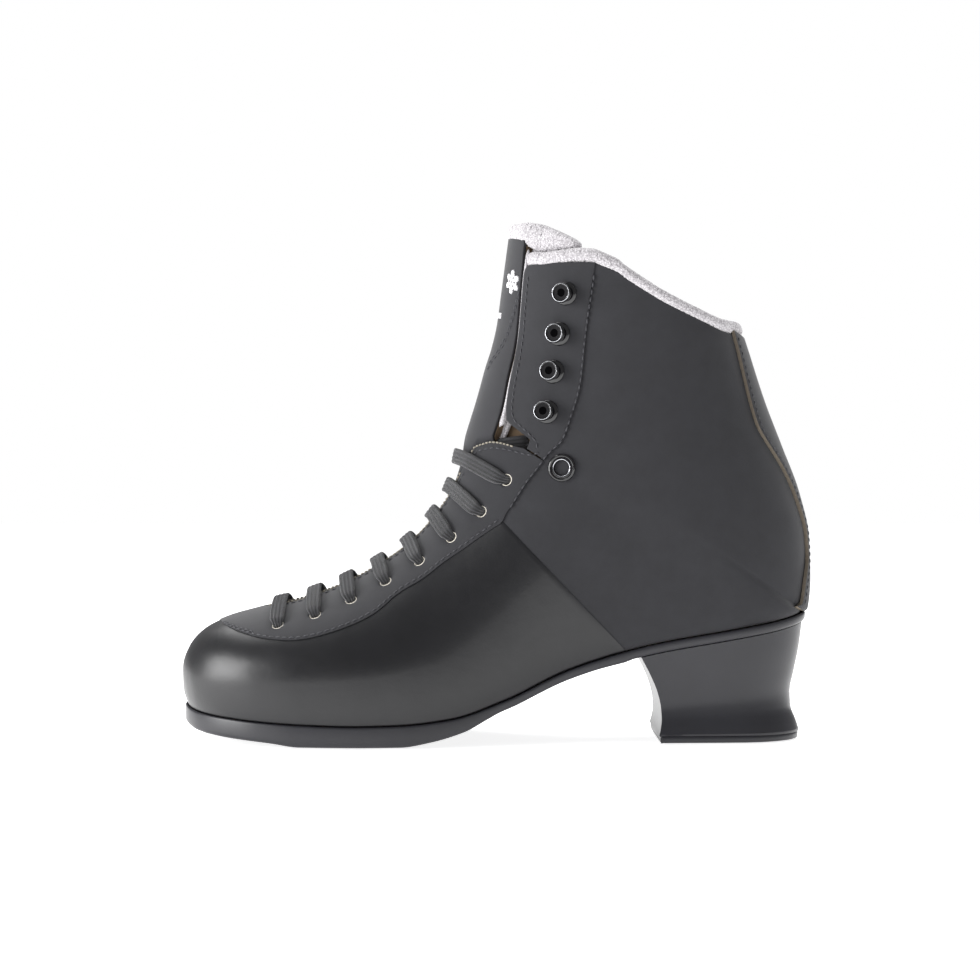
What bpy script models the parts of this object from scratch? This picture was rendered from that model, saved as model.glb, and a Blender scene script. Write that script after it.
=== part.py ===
"""Lace-up figure skating boot (left), without its blade.

+Z is up, the toe points to -X, the outer side of the foot is -Y. The floor is Z = 0, and the origin
is on the floor under the middle of the boot.

The whole upper is drawn on one last. A place on the last has two numbers:
  section  0 at the toe's feather point, 17 at the heel's back corner, 25 above the tongue. Each section
           is a slanted cut that runs from the front of the boot to its base.
  girth    0 on the front centre line, 0.6 at the widest point, 1 at the feather edge over the sole
           (or on the back centre line, from section 17 up).
Layers lie at a depth below the last's surface, measured inwards.
"""

import math

import bmesh
import bpy
import numpy as np
from mathutils import Matrix, Vector

MM = 0.001

# Overall sizes
BOOT_LENGTH = 0.285
BALL_WIDTH = 0.099
BOOT_HEIGHT = 0.230

# What the last's sections below were drawn at
DRAWN_LENGTH = 0.285
DRAWN_WIDTH = 0.099
DRAWN_HEIGHT = 0.230

# Layers, from the outside in
LEATHER = 0.0018
LAYER_GAP = 0.0010
STIFFENER = 0.0014
LINING = 0.0018
BACKSTAY = 0.0013
TOUCH_GAP = 0.0003

STIFFENER_DEPTH = LEATHER + LAYER_GAP
LINING_DEPTH = STIFFENER_DEPTH + STIFFENER + LAYER_GAP
CAVITY_DEPTH = LINING_DEPTH + LINING

# Sole
SOLE_LEDGE = 0.0012
SLAB_END_WIDTH = 0.006
SOLE_EDGE_ROUND = 0.0018
HEEL_STRIP = 0.0045
LIFT_THICKNESS = 0.0030
LIFT_INSET = 0.0006
BOARD_THICKNESS = 0.0020
BOARD_MARGIN = 0.0050
SHANK_WIDTH = 0.018
SHANK_THICKNESS = 0.0012
SHANK_GAP = 0.0006
SHANK_FRONT = -34.0
SHANK_BACK = 112.0
FOOTBED_THICKNESS = 0.0030
FOOTBED_MARGIN = 0.0035
FOOTBED_GAP = 0.0014

# Tongue
TONGUE_FOAM = 0.0050
ROOT_DEPTH = LEATHER + 0.0059
ROOT_EDGE_DEPTH = ROOT_DEPTH + 0.0005
ROOT_THICKNESS = 0.0030
HINGE_HEIGHT = 0.1360
HINGE_CLEARANCE = 0.0010
HINGE_DEPTH = 0.0030
HINGE_SEARCH = (13.0, 18.0)
BAND_THICKNESS = 0.0065

# Collar roll
ROLL_THICKNESS = 0.0095
ROLL_HEIGHT = 0.0062
ROLL_RISE = 0.0008

# Hardware
HOOK_BASE_DIAMETER = 0.0105
HOOK_BASE_THICKNESS = 0.0012
HOOK_NECK_DIAMETER = 0.0048
HOOK_NECK_LENGTH = 0.0030
HOOK_HEAD_DIAMETER = 0.0086
HOOK_HEAD_THICKNESS = 0.0030
EYELET_DIAMETER = 0.0123
EYELET_HOLE = 0.0064
EYELET_WALL = 0.0008
EYELET_FLANGE = 0.0014
EYELET_REACH = 0.0088
EYELET_CLEARANCE = 0.0005
LACE_HOLE = 0.0056

# Lace
LACE_DIAMETER = 0.0030
LACE_RUN_DEPTH = LEATHER + 0.0019
HANK_LENGTH = 0.104
HANK_WIDTH = 0.030
HANK_HEIGHT = 0.0076
HANK_CENTRE = -0.060
HANK_OFFSET = 0.0172
HANK_REST = 0.0015
AGLET_LENGTH = 0.020
AGLET_DIAMETER = 0.0030
AGLET_START = -0.045
TIE_WIDTH = 0.006
TIE_THICKNESS = 0.0008
TAIL_END_GAP = 0.0004

# The last, in drawn millimetres. Each row is a section:
# front x, front z, base x, base z, half width at the widest, half width at the feather edge,
# share of the way to the base where it is widest, roundness above, roundness below, centre's y
LAST_SECTIONS = np.array((
    (-140.3, 16.0, -140.3, 16.0, 0.0, 0.0, 0.70, 2.0, 2.0, 5.0),
    (-142.6, 24.0, -139.6, 15.6, 9.0, 8.0, 0.70, 2.0, 2.0, 5.0),
    (-142.4, 33.0, -138.0, 14.7, 16.0, 14.2, 0.70, 2.1, 2.0, 5.0),
    (-139.3, 41.5, -134.0, 13.6, 24.5, 22.0, 0.69, 2.2, 2.0, 4.8),
    (-133.0, 48.6, -127.0, 12.5, 32.3, 29.8, 0.68, 2.2, 2.0, 4.4),
    (-122.5, 54.0, -117.0, 11.6, 39.2, 36.7, 0.67, 2.2, 2.0, 3.6),
    (-108.0, 58.2, -103.0, 10.6, 44.8, 42.2, 0.66, 2.1, 2.0, 2.4),
    (-90.0, 62.5, -85.0, 9.8, 48.3, 45.8, 0.66, 2.0, 2.0, 1.0),
    (-72.0, 69.0, -64.0, 9.3, 49.5, 46.8, 0.67, 1.9, 2.0, 0.0),
    (-55.0, 77.8, -42.0, 9.7, 48.0, 44.5, 0.68, 1.8, 2.0, -0.8),
    (-40.0, 88.0, -20.0, 12.0, 45.0, 40.2, 0.68, 1.8, 2.0, -1.2),
    (-28.5, 99.8, 4.0, 20.0, 42.3, 35.2, 0.64, 1.8, 1.9, -1.4),
    (-21.0, 111.5, 32.0, 33.0, 40.8, 31.3, 0.58, 1.8, 1.6, -1.2),
    (-17.0, 123.0, 68.0, 43.6, 40.4, 28.8, 0.52, 1.9, 1.4, -0.8),
    (-14.5, 135.0, 104.0, 50.0, 40.8, 27.2, 0.48, 2.0, 1.4, -0.4),
    (-12.0, 143.5, 126.0, 54.0, 41.3, 20.9, 0.46, 2.0, 1.6, 0.0),
    (-9.8, 150.5, 135.5, 56.4, 41.8, 11.2, 0.45, 2.0, 1.8, 0.0),
    (-7.8, 157.5, 138.8, 57.6, 42.0, 0.0, 0.45, 2.0, 2.0, 0.0),
    (-5.2, 167.0, 140.6, 73.0, 42.1, 0.0, 0.45, 2.0, 2.0, 0.0),
    (-2.2, 176.5, 140.3, 90.0, 42.0, 0.0, 0.45, 2.0, 2.0, 0.0),
    (0.2, 187.0, 136.0, 110.0, 41.8, 0.0, 0.45, 2.0, 2.0, 0.0),
    (1.7, 198.0, 128.0, 131.0, 41.6, 0.0, 0.46, 2.0, 2.1, 0.0),
    (3.1, 208.5, 120.2, 151.0, 41.8, 0.0, 0.47, 2.0, 2.2, 0.0),
    (4.5, 219.0, 113.6, 171.0, 42.0, 0.0, 0.48, 2.0, 2.3, 0.0),
    (6.0, 230.0, 109.0, 186.5, 42.2, 0.0, 0.48, 2.0, 2.3, 0.0),
    (7.6, 241.0, 107.0, 200.0, 42.2, 0.0, 0.48, 2.0, 2.3, 0.0),
))
LAST_END = len(LAST_SECTIONS) - 1
WIDEST_GIRTH = 0.6
HEEL_CORNER = 17
CORNER_REACH_FLOOR = 3.5
CORNER_REACH_WALL = 2.0

# Seams and edges on the last, as (section, girth)
THROAT_EDGE = ((6.0, 0.0), (6.45, 0.065), (7.4, 0.090), (9.2, 0.080), (11.2, 0.066), (12.3, 0.088),
               (12.9, 0.110), (13.56, 0.152))
WRAP_EDGE = ((4.7, 0.0), (5.0, 0.160), (5.6, 0.285), (6.4, 0.362), (7.2, 0.388), (8.0, 0.375),
             (8.8, 0.350), (9.7, 0.306), (10.6, 0.311), (11.8, 0.353), (12.7, 0.395))
FACING_SEAM = ((12.9, 0.398), (15.2, 0.405), (17.3, 0.430), (20.5, 0.458), (23.75, 0.510))
BACKSTAY_EDGE = ((16.3, 0.915), (17.7, 0.925), (18.6, 0.952), (19.7, 0.925), (20.3, 0.897),
                 (21.2, 0.840), (22.2, 0.850), (23.5, 0.862))
COLLAR_LINE = ((0.215, 22.60), (0.25, 22.78), (0.29, 22.87), (0.375, 23.25), (0.45, 23.58), (0.51, 23.73),
               (0.57, 23.73), (0.62, 23.53), (0.67, 23.38), (0.73, 23.33), (0.80, 23.32),
               (0.86, 23.42), (0.93, 23.56), (1.0, 23.60))
WRAP_END = 12.7

# Where the layers have their rows (sections) and columns (shares of the girth behind the facing seam)
TOE_ROWS = (0.0, 0.5, 1.0, 1.7, 2.4, 3.2, 4.0)
STAY_ROWS = (4.8, 4.9, 5.05, 5.25, 5.6, 6.0, 6.15, 6.5, 7.2, 7.9, 8.6, 9.3, 10.0, 10.7, 11.4, 12.0, WRAP_END)
HEEL_ROWS = (12.73, 13.3, 13.8, 14.3, 14.8, 15.4, 16.0, 16.5, 17.0)
SHAFT_ROWS = 9
BACK_COLUMNS = (0.0, 0.16, 0.32, 0.45, 0.58, 0.69, 0.80, 0.87, 0.94, 1.0)
COUNTER_PART = (slice(2, 12), slice(4, 10))
FOAM_PART = (slice(12, 17), slice(1, 7))

# Hardware places on the last, as (section, girth), from the top down and from the toe up
HOOK_PLACES = ((22.21, 0.398), (20.67, 0.375), (19.28, 0.362), (17.74, 0.367))
EYELET_PLACE = (15.45, 0.447)
LACE_HOLE_PLACES = ((6.62, 0.283), (7.51, 0.268), (8.37, 0.246), (9.26, 0.230), (10.23, 0.234),
                    (11.30, 0.265), (12.45, 0.310), (13.66, 0.338))

# The sole's underside in drawn millimetres, as (x, z), flat under the ball of the foot
SOLE_UNDERSIDE = ((-141.5, 7.6), (-133.0, 4.8), (-121.0, 3.2), (-98.0, 1.3), (-86.0, 0.0), (-42.0, 0.0),
                  (-29.0, 1.9), (-14.0, 6.2), (-4.0, 11.5), (6.6, 17.4), (17.3, 23.2), (33.0, 29.4),
                  (44.0, 32.6), (59.0, 36.4))
HEEL_START = 64.0
HEEL_END = 138.8
HEEL_ROUND_START = 104.0
HEEL_HALF_WIDTH = 27.2

# The heel block by height share: front x, back x, width share
HEEL_PROFILE = ((0.0, 71.5, 137.3, 1.00), (0.10, 72.4, 135.7, 0.965), (0.22, 72.9, 133.5, 0.92),
                (0.36, 72.6, 133.1, 0.90), (0.56, 71.0, 135.0, 0.92), (0.78, 67.8, 137.2, 0.96),
                (1.0, 63.8, 138.6, 1.00))

# The seams' small turns and gaps, in girth and section
SEAM_TURN = 0.008
HEEL_SEAM_GIRTH = 0.995
LINING_DROP = 0.10
ROOT_GIRTH = 0.40
ROOT_BEND_GIRTH = 0.29
TONGUE_COVER_TOP = 23.50

STAY_END_FRONT = ((12.95, 0.113), (13.56, 0.152), (13.95, 0.165), (14.27, 0.198), (14.6, 0.232),
                  (14.86, 0.272), (15.05, 0.312), (15.22, 0.338))
STAY_END_BACK = ((12.95, 0.391), (13.35, 0.393), (13.7, 0.395), (14.05, 0.396), (14.4, 0.397),
                 (14.7, 0.398), (14.98, 0.399), (15.22, 0.400))
FACING_FRONT = ((15.32, 0.348), (15.9, 0.345), (16.0, 0.312), (16.15, 0.262), (16.9, 0.240), (18.0, 0.228),
                (19.5, 0.221), (21.0, 0.221), (22.3, 0.222), (22.68, 0.236))
FACING_BACK = ((15.32, 0.400), (15.75, 0.404), (16.1, 0.409), (16.5, 0.415), (17.3, 0.424), (18.3, 0.434),
               (19.7, 0.447), (21.1, 0.461), (22.6, 0.481), (23.70, 0.502))
LINING_EDGE = ((5.5, 0.0), (5.8, 0.30), (6.2, 0.42), (8.0, 0.43), (12.0, 0.385), (13.5, 0.380),
               (15.2, 0.375), (15.9, 0.350), (16.3, 0.310), (16.9, 0.262), (19.0, 0.240), (23.0, 0.248))
ROOT_TOP = ((0.0, 13.95), (0.08, 14.1), (0.16, 14.60), (0.22, 15.05), (0.26, 14.80), (0.30, 14.72),
            (0.40, 14.70))
TONGUE_EDGE = ((14.0, 0.215), (16.9, 0.218), (19.0, 0.200), (23.5, 0.198))
BAND_LOW = ((0.0, 23.56), (0.08, 23.56), (0.15, 23.57), (0.205, 23.62), (0.25, 24.05), (0.30, 24.22),
            (0.36, 24.34), (0.43, 24.46))
BAND_TOP = ((0.0, 24.12), (0.08, 24.25), (0.15, 24.42), (0.205, 24.55), (0.25, 24.64), (0.30, 24.70),
            (0.36, 24.74), (0.43, 24.76))

# How high the lace stands over the stay and over the throat, how far its returning end lies beside
# the holes, and where both ends are tucked in
LACE_RISE = 0.0029
LACE_OVER = 0.0024
LACE_RUN_ASIDE = 0.06
LACE_END_LOOP = ((13.30, 0.200), (13.50, 0.145), (13.80, 0.135), (14.02, 0.158), (14.15, 0.190))

# How a tail runs on from the tuck, through the notch and down the lining, as (section, girth, depth)
TAIL_PLACES = ((14.22, 0.204, 0.0040), (14.55, 0.238, 0.0042), (14.85, 0.268, 0.0046), (15.15, 0.290, 0.0058),
               (15.36, 0.302, 0.0082), (15.42, 0.306, 0.0110), (15.34, 0.315, 0.0135), (15.10, 0.350, 0.0140),
               (14.70, 0.400, 0.0125), (14.20, 0.460, 0.0105), (13.60, 0.530, 0.0098), (13.00, 0.610, 0.0098),
               (12.50, 0.690, 0.0100), (12.10, 0.770, 0.0105), (11.80, 0.850, 0.0125))
TAIL_LAST_TURN = (0.009, 0.0195)

# Grid rows: sections and shares where each surface is sampled, and how closely slopes are taken
SLOPE_STEP = 0.02
CORNER_STEP = 0.5
NORMAL_STEP = 0.01
WELD_DISTANCE = 0.00002
SOLE_ROWS = np.concatenate(((0.12, 0.5, 1.0, 1.5, 2.0, 2.6), np.arange(3.2, 14.01, 0.6)))
SOLE_LAST_ROW = 14.0
SOLE_HEEL_ANGLES = (14, 28, 42, 56, 68, 78, 86)
SOLE_EDGE_SHARE = 0.3
HEEL_ROWS_FROM = 12.5
HEEL_FRONT_ROWS = 5
HEEL_LEVELS = (0.0, 0.1, 0.22, 0.36, 0.56, 0.78, 1.0)
LIFT_CHAMFER = 0.0006
BACKSTAY_ROWS = np.concatenate(((16.5, 17.0, 17.4), np.linspace(17.8, 23.42, 12)))
LINING_TOE_ROWS = (2.4, 3.2, 4.1, 5.0, 5.5, 5.68, 5.85, 6.2, 7.2, 8.4, 9.6, 10.8, 11.8)
LINING_HEEL_ROWS = (12.73, 13.8, 14.8, 15.4, 17.0)
LINING_COLUMNS = (0.0, 0.32, 0.58, 0.80, 0.94, 1.0)
PUFF_ROWS = (1.1, 1.7, 2.4, 3.2, 4.1, 5.0)
PUFF_GIRTH = 0.96
ROOT_START = 6.35
TONGUE_WIDEST_GIRTH = 0.3
ROLL_GIRTHS = np.concatenate(((0.228, 0.25), np.linspace(0.30, 0.94, 11)))
ROLL_SIDES = 10
ROLL_END_SIZE = 0.72
ROLL_OUTWARD = 0.0003
UP_STEP = 0.3
EYELET_ROUND = 0.0006
EYELET_CUT_LENGTH = 0.014
HANK_END_ANGLES = (4, 14, 26, 40, 56, 72)
HANK_STRAIGHT_ROWS = 9
FAN_ROUNDS = 12
FAN_FIRST = (12.0, 23.0)

COLOURS = {
    "sole": ((0.030, 0.030, 0.036), 0.42, 0.0),
    "smooth_leather": ((0.013, 0.013, 0.016), 0.33, 0.0),
    "matt_leather": ((0.060, 0.060, 0.068), 0.75, 0.0),
    "terry": ((0.82, 0.80, 0.82), 0.95, 0.0),
    "lining": ((0.62, 0.60, 0.60), 0.90, 0.0),
    "foam": ((0.16, 0.13, 0.10), 0.95, 0.0),
    "board": ((0.30, 0.22, 0.14), 0.85, 0.0),
    "steel": ((0.55, 0.55, 0.57), 0.35, 1.0),
    "black_metal": ((0.010, 0.010, 0.011), 0.20, 0.6),
    "lace": ((0.045, 0.045, 0.050), 0.85, 0.0),
    "aglet": ((0.02, 0.02, 0.02), 0.30, 0.0),
    "lace_tie": ((0.02, 0.02, 0.02), 0.80, 0.0),
}

LENGTH_SCALE = BOOT_LENGTH / DRAWN_LENGTH
WIDTH_SCALE = BALL_WIDTH / DRAWN_WIDTH
HEIGHT_SCALE = BOOT_HEIGHT / DRAWN_HEIGHT


# ---- curves ------------------------------------------------------------------------------------

def smooth_curve(places, values, at):
    """Values on a curve through the given points that never swings past them."""
    places = np.asarray(places, float)
    values = np.asarray(values, float)
    values = values.reshape(len(places), -1)
    steps = np.diff(places)[:, None]
    slopes = np.diff(values, axis=0) / steps
    tangents = np.zeros_like(values)
    before, after = slopes[:-1], slopes[1:]
    same_way = before * after > 0
    total = np.where(same_way, before + after, 1.0)
    tangents[1:-1] = np.where(same_way, 2 * before * after / total, 0.0)
    tangents[0], tangents[-1] = slopes[0], slopes[-1]
    at = np.clip(np.asarray(at, float), places[0], places[-1])
    index = np.clip(np.searchsorted(places, at, side="right") - 1, 0, len(places) - 2)
    step = steps[index]
    f = (at[..., None] - places[index][..., None]) / step
    return ((2 * f ** 3 - 3 * f ** 2 + 1) * values[index] + (f ** 3 - 2 * f ** 2 + f) * step * tangents[index]
            + (3 * f ** 2 - 2 * f ** 3) * values[index + 1] + (f ** 3 - f ** 2) * step * tangents[index + 1])


def seam(points, at):
    """Girth of a seam at the given sections."""
    points = np.array(points)
    return smooth_curve(points[:, 0], points[:, 1], at)[..., 0]


def last_row(section):
    """The last's numbers at a section, in metres where they are lengths."""
    row = smooth_curve(np.arange(LAST_END + 1), LAST_SECTIONS, section)
    row[..., [0, 2]] *= LENGTH_SCALE * MM
    row[..., [1, 3]] *= HEIGHT_SCALE * MM
    row[..., [4, 5, 9]] *= WIDTH_SCALE * MM
    return row


def inward(behind, ahead, column, turn):
    """Unit normal, in the side view, of the front line (column 0) or the base line (column 2)."""
    along = last_row(ahead)[..., column:column + 2] - last_row(behind)[..., column:column + 2]
    along = along / (np.linalg.norm(along, axis=-1, keepdims=True) + 1e-12)
    return turn * np.stack((along[..., 1], -along[..., 0]), -1)


def front_inward(section):
    return inward(np.maximum(section - SLOPE_STEP, 0), np.minimum(section + SLOPE_STEP, LAST_END), 0, 1.0)


def base_inward(section):
    """Inward from the base line: up off the sole, forward off the back, and both at the heel's corner."""
    floor_at = np.minimum(section, HEEL_CORNER)
    wall_at = np.maximum(section, HEEL_CORNER)
    step = CORNER_STEP
    floor = inward(np.maximum(floor_at - step, 0), np.minimum(floor_at + step, HEEL_CORNER), 2, -1.0)
    wall = inward(np.maximum(wall_at - step, HEEL_CORNER), np.minimum(wall_at + step, LAST_END), 2, -1.0)
    near_wall = np.clip(1 - (HEEL_CORNER - section) / CORNER_REACH_FLOOR, 0, 1) ** 2
    near_floor = np.clip(1 - (section - HEEL_CORNER) / CORNER_REACH_WALL, 0, 1)
    return floor * near_floor[..., None] + wall * near_wall[..., None]


def on_last(section, girth, side, depth=0.0):
    """Points on the last, or at a depth below it. side is -1 for the outer side, +1 for the inner."""
    section, girth, depth = np.broadcast_arrays(np.asarray(section, float), girth, depth)
    row = last_row(section)
    front = row[..., 0:2] + depth[..., None] * front_inward(section)
    base = row[..., 2:4] + depth[..., None] * base_inward(section)
    above_sole = row[..., 3] + np.where(depth < 0, TOUCH_GAP, 0.0)  # what lies outside the last
    base[..., 1] = np.maximum(base[..., 1], above_sole)
    widest = np.maximum(row[..., 4] - depth, 0.0)
    feather = np.clip(row[..., 5] - np.clip(depth, 0.0, None), 0.0, None)
    share, above, below, centre = (row[..., k] for k in (6, 7, 8, 9))
    upper = np.pi / 2 * np.clip(girth / WIDEST_GIRTH, 0, 1)
    lower = np.pi / 2 * np.clip((girth - WIDEST_GIRTH) / (1 - WIDEST_GIRTH), 0, 1)
    is_upper = girth < WIDEST_GIRTH
    cos_upper = np.clip(np.cos(upper), 0, 1)
    cos_lower = np.clip(np.cos(lower), 0, 1)
    way = np.where(is_upper, share * (1 - cos_upper ** (2 / above)),
                   share + (1 - share) * np.sin(lower) ** (2 / below))
    half = np.where(is_upper, widest * np.sin(upper) ** (2 / above),
                    feather + (widest - feather) * cos_lower ** (2 / below))
    place = front + (base - front) * way[..., None]
    return np.stack((place[..., 0], centre + side * half, place[..., 1]), -1)


def normal_on_last(section, girth, side):
    """Outward unit normal of the last."""
    step = NORMAL_STEP
    along = on_last(section + step, girth, side) - on_last(section - step, girth, side)
    down = on_last(section, girth + step, side) - on_last(section, girth - step, side)
    normal = np.cross(along, down) * side
    return Vector(normal / np.linalg.norm(normal))


def section_at_height(girth, height):
    """Section on the front of the boot where a line of constant girth reaches a height."""
    sections = np.linspace(HINGE_SEARCH[0], HINGE_SEARCH[1], 200)
    heights = on_last(sections, girth, -1)[:, 2]
    return float(np.interp(height, heights, sections))


# ---- building blocks ---------------------------------------------------------------------------

def material(slot):
    made = bpy.data.materials.get(slot)
    if made is None:
        colour, roughness, metallic = COLOURS[slot]
        made = bpy.data.materials.new(slot)
        made.use_nodes = True
        shader = made.node_tree.nodes["Principled BSDF"]
        shader.inputs["Base Color"].default_value = (*colour, 1.0)
        shader.inputs["Roughness"].default_value = roughness
        shader.inputs["Metallic"].default_value = metallic
    return made


def add_object(name, bm, slot, smooth_angle=40):
    mesh = bpy.data.meshes.new(name)
    bm.to_mesh(mesh)
    bm.free()
    mesh.materials.append(material(slot))
    mesh.shade_smooth()
    mesh.set_sharp_from_angle(angle=math.radians(smooth_angle))
    obj = bpy.data.objects.new(name, mesh)
    bpy.context.collection.objects.link(obj)
    return obj


def thicken(obj, thickness):
    solid = obj.modifiers.new("thickness", "SOLIDIFY")
    solid.thickness = thickness
    solid.offset = -1.0
    return solid


def cut(obj, cutter):
    boolean = obj.modifiers.new("cut", "BOOLEAN")
    boolean.operation = "DIFFERENCE"
    boolean.solver = "EXACT"
    boolean.object = cutter
    cutter.hide_render = True
    cutter.display_type = "WIRE"


def weave(bm, points, side):
    """Quads over a grid of points (rows run toe to heel, columns run down), facing outwards."""
    rows, columns = points.shape[:2]
    verts = [[bm.verts.new(points[r, c]) for c in range(columns)] for r in range(rows)]
    for r in range(rows - 1):
        for c in range(columns - 1):
            loop = [verts[r][c], verts[r + 1][c], verts[r + 1][c + 1], verts[r][c + 1]]
            if side < 0:
                loop.reverse()
            bm.faces.new(loop)
    return verts


def panel(name, slot, sections, girths, sides, depth, thickness):
    """A sheet on the last, given by grids of section and girth, thickened inwards.

    Made on one side or both; where the two sides meet on a centre line they are joined.
    """
    bm = bmesh.new()
    for side in sides:
        weave(bm, on_last(sections, girths, side, depth), side)
    bmesh.ops.remove_doubles(bm, verts=bm.verts, dist=WELD_DISTANCE)
    bmesh.ops.dissolve_degenerate(bm, edges=bm.edges, dist=WELD_DISTANCE)
    obj = add_object(name, bm, slot)
    thicken(obj, thickness)
    return obj


def grid(sections, low, high, columns):
    """Section and girth grids between two girth lines given for each section."""
    share = np.linspace(0.0, 1.0, columns)[None, :]
    low = np.asarray(low, float)[:, None]
    high = np.asarray(high, float)[:, None]
    girths = low + (high - low) * share
    return np.broadcast_to(np.asarray(sections, float)[:, None], girths.shape), girths


def ruled(low, high, rows):
    """Section and girth grids ruled from one line of (section, girth) points to another."""
    low = np.asarray(low, float)
    high = np.asarray(high, float)
    share = np.linspace(0.0, 1.0, rows)[:, None, None]
    both = low[None] + (high - low)[None] * share
    return both[..., 0], both[..., 1]


def stack(name, slot, loops, smooth_angle=40):
    """A closed body through loops of equal length; each loop's far half mirrors its near half."""
    bm = bmesh.new()
    rings = [[bm.verts.new(point) for point in loop] for loop in loops]
    count = len(rings[0])
    for lower, upper in zip(rings[:-1], rings[1:]):
        for k in range(count):
            n = (k + 1) % count
            bm.faces.new((lower[k], lower[n], upper[n], upper[k]))
    for k in range(count // 2 - 1):
        m = count - 1 - k
        bm.faces.new((rings[0][k], rings[0][m], rings[0][m - 1], rings[0][k + 1]))
        bm.faces.new((rings[-1][k + 1], rings[-1][m - 1], rings[-1][m], rings[-1][k]))
    bmesh.ops.recalc_face_normals(bm, faces=bm.faces)
    return add_object(name, bm, slot, smooth_angle)


def turned(bm, profile, sides, frame):
    """A solid of revolution about the frame's Z axis from (radius, height) points, bottom to top."""
    rings = []
    for radius, height in profile:
        ring = []
        for k in range(sides):
            angle = 2 * math.pi * k / sides
            point = Vector((radius * math.cos(angle), radius * math.sin(angle), height))
            ring.append(bm.verts.new(frame @ point))
        rings.append(ring)
    return rings


def join_rings(bm, rings, close_ends=True):
    count = len(rings[0])
    for lower, upper in zip(rings[:-1], rings[1:]):
        for k in range(count):
            n = (k + 1) % count
            bm.faces.new((lower[k], lower[n], upper[n], upper[k]))
    if close_ends:
        bm.faces.new(reversed(rings[0]))
        bm.faces.new(rings[-1])
    else:
        for k in range(count):
            n = (k + 1) % count
            bm.faces.new((rings[-1][k], rings[-1][n], rings[0][n], rings[0][k]))


def frame_on_last(place, side, depth=0.0):
    """A frame whose Z axis is the last's outward normal at a place, with its origin at a depth."""
    normal = normal_on_last(place[0], place[1], side)
    origin = Vector(on_last(place[0], place[1], side)) - normal * depth
    turn = Vector((0, 0, 1)).rotation_difference(normal).to_matrix().to_4x4()
    return Matrix.Translation(origin) @ turn


def pin_cutter(name, frames, diameter, reach, sides=12):
    """One cutter made of a pin at each frame, through the layers on both sides of it."""
    bm = bmesh.new()
    for frame in frames:
        rings = turned(bm, ((diameter / 2, -reach), (diameter / 2, reach)), sides, frame)
        join_rings(bm, rings)
    bmesh.ops.recalc_face_normals(bm, faces=bm.faces)
    return add_object(name, bm, "steel")


# ---- sole and heel -----------------------------------------------------------------------------

def sole_stations():
    """Places along the sole from toe to heel: x, centre y, half width and the upper's base height."""
    rows = last_row(SOLE_ROWS)
    stations = [(row[2], row[9], row[5], row[3]) for row in rows]
    round_start = HEEL_ROUND_START * LENGTH_SCALE * MM
    reach = HEEL_END * LENGTH_SCALE * MM - round_start
    heel_rows = last_row(np.linspace(SOLE_LAST_ROW, HEEL_CORNER, 40))
    for angle in np.radians(SOLE_HEEL_ANGLES):
        x = round_start + reach * math.sin(angle)
        z = float(np.interp(x, heel_rows[:, 2], heel_rows[:, 3]))
        y = float(np.interp(x, heel_rows[:, 2], heel_rows[:, 9]))
        stations.append((x, y, HEEL_HALF_WIDTH * WIDTH_SCALE * MM * math.cos(angle), z))
    return np.array(stations)


def outline(stations, grow):
    """Closed outline of the stations in plan, grown outwards: outer side toe to heel, then back."""
    x, y, half = stations[:, 0], stations[:, 1], stations[:, 2]
    near = np.stack((x, y - half), -1)
    far = np.stack((x, y + half), -1)[::-1]
    loop = np.concatenate((near, far))
    along = np.roll(loop, -1, axis=0) - np.roll(loop, 1, axis=0)
    along /= np.linalg.norm(along, axis=1, keepdims=True)
    out = np.stack((along[:, 1], -along[:, 0]), -1)
    return loop + out * grow


def slab(name, slot, stations, grow_and_height, smooth_angle=40):
    """A body through grown outlines; each height is given at the stations."""
    loops = []
    for grow, height in grow_and_height:
        loop = outline(stations, grow)
        loops.append(np.column_stack((loop, np.interp(loop[:, 0], stations[:, 0], height))))
    return stack(name, slot, loops, smooth_angle)


def sole_underside(stations):
    points = np.array(SOLE_UNDERSIDE)
    drawn = stations[:, 0] / (LENGTH_SCALE * MM)
    under = smooth_curve(points[:, 0], points[:, 1], drawn)[:, 0] * HEIGHT_SCALE * MM
    strip = stations[:, 3] - HEEL_STRIP
    return np.where(drawn > points[-1, 0], strip, np.minimum(under, strip))


def lifted(stations, distance):
    """Heights a distance above the upper's base, measured square to it."""
    slope = np.gradient(stations[:, 3], stations[:, 0])
    return stations[:, 3] + distance * np.sqrt(1 + slope ** 2)


def flat_slab(name, slot, stations, margin, floor, thickness):
    """A sheet over the upper's base, set in from its edge by a margin and lying at a height over it."""
    wide = stations[:, 2] > margin + SLAB_END_WIDTH
    slab(name, slot, stations[wide], (
        (-margin, lifted(stations, floor)[wide]), (-margin, lifted(stations, floor + thickness)[wide])))


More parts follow.
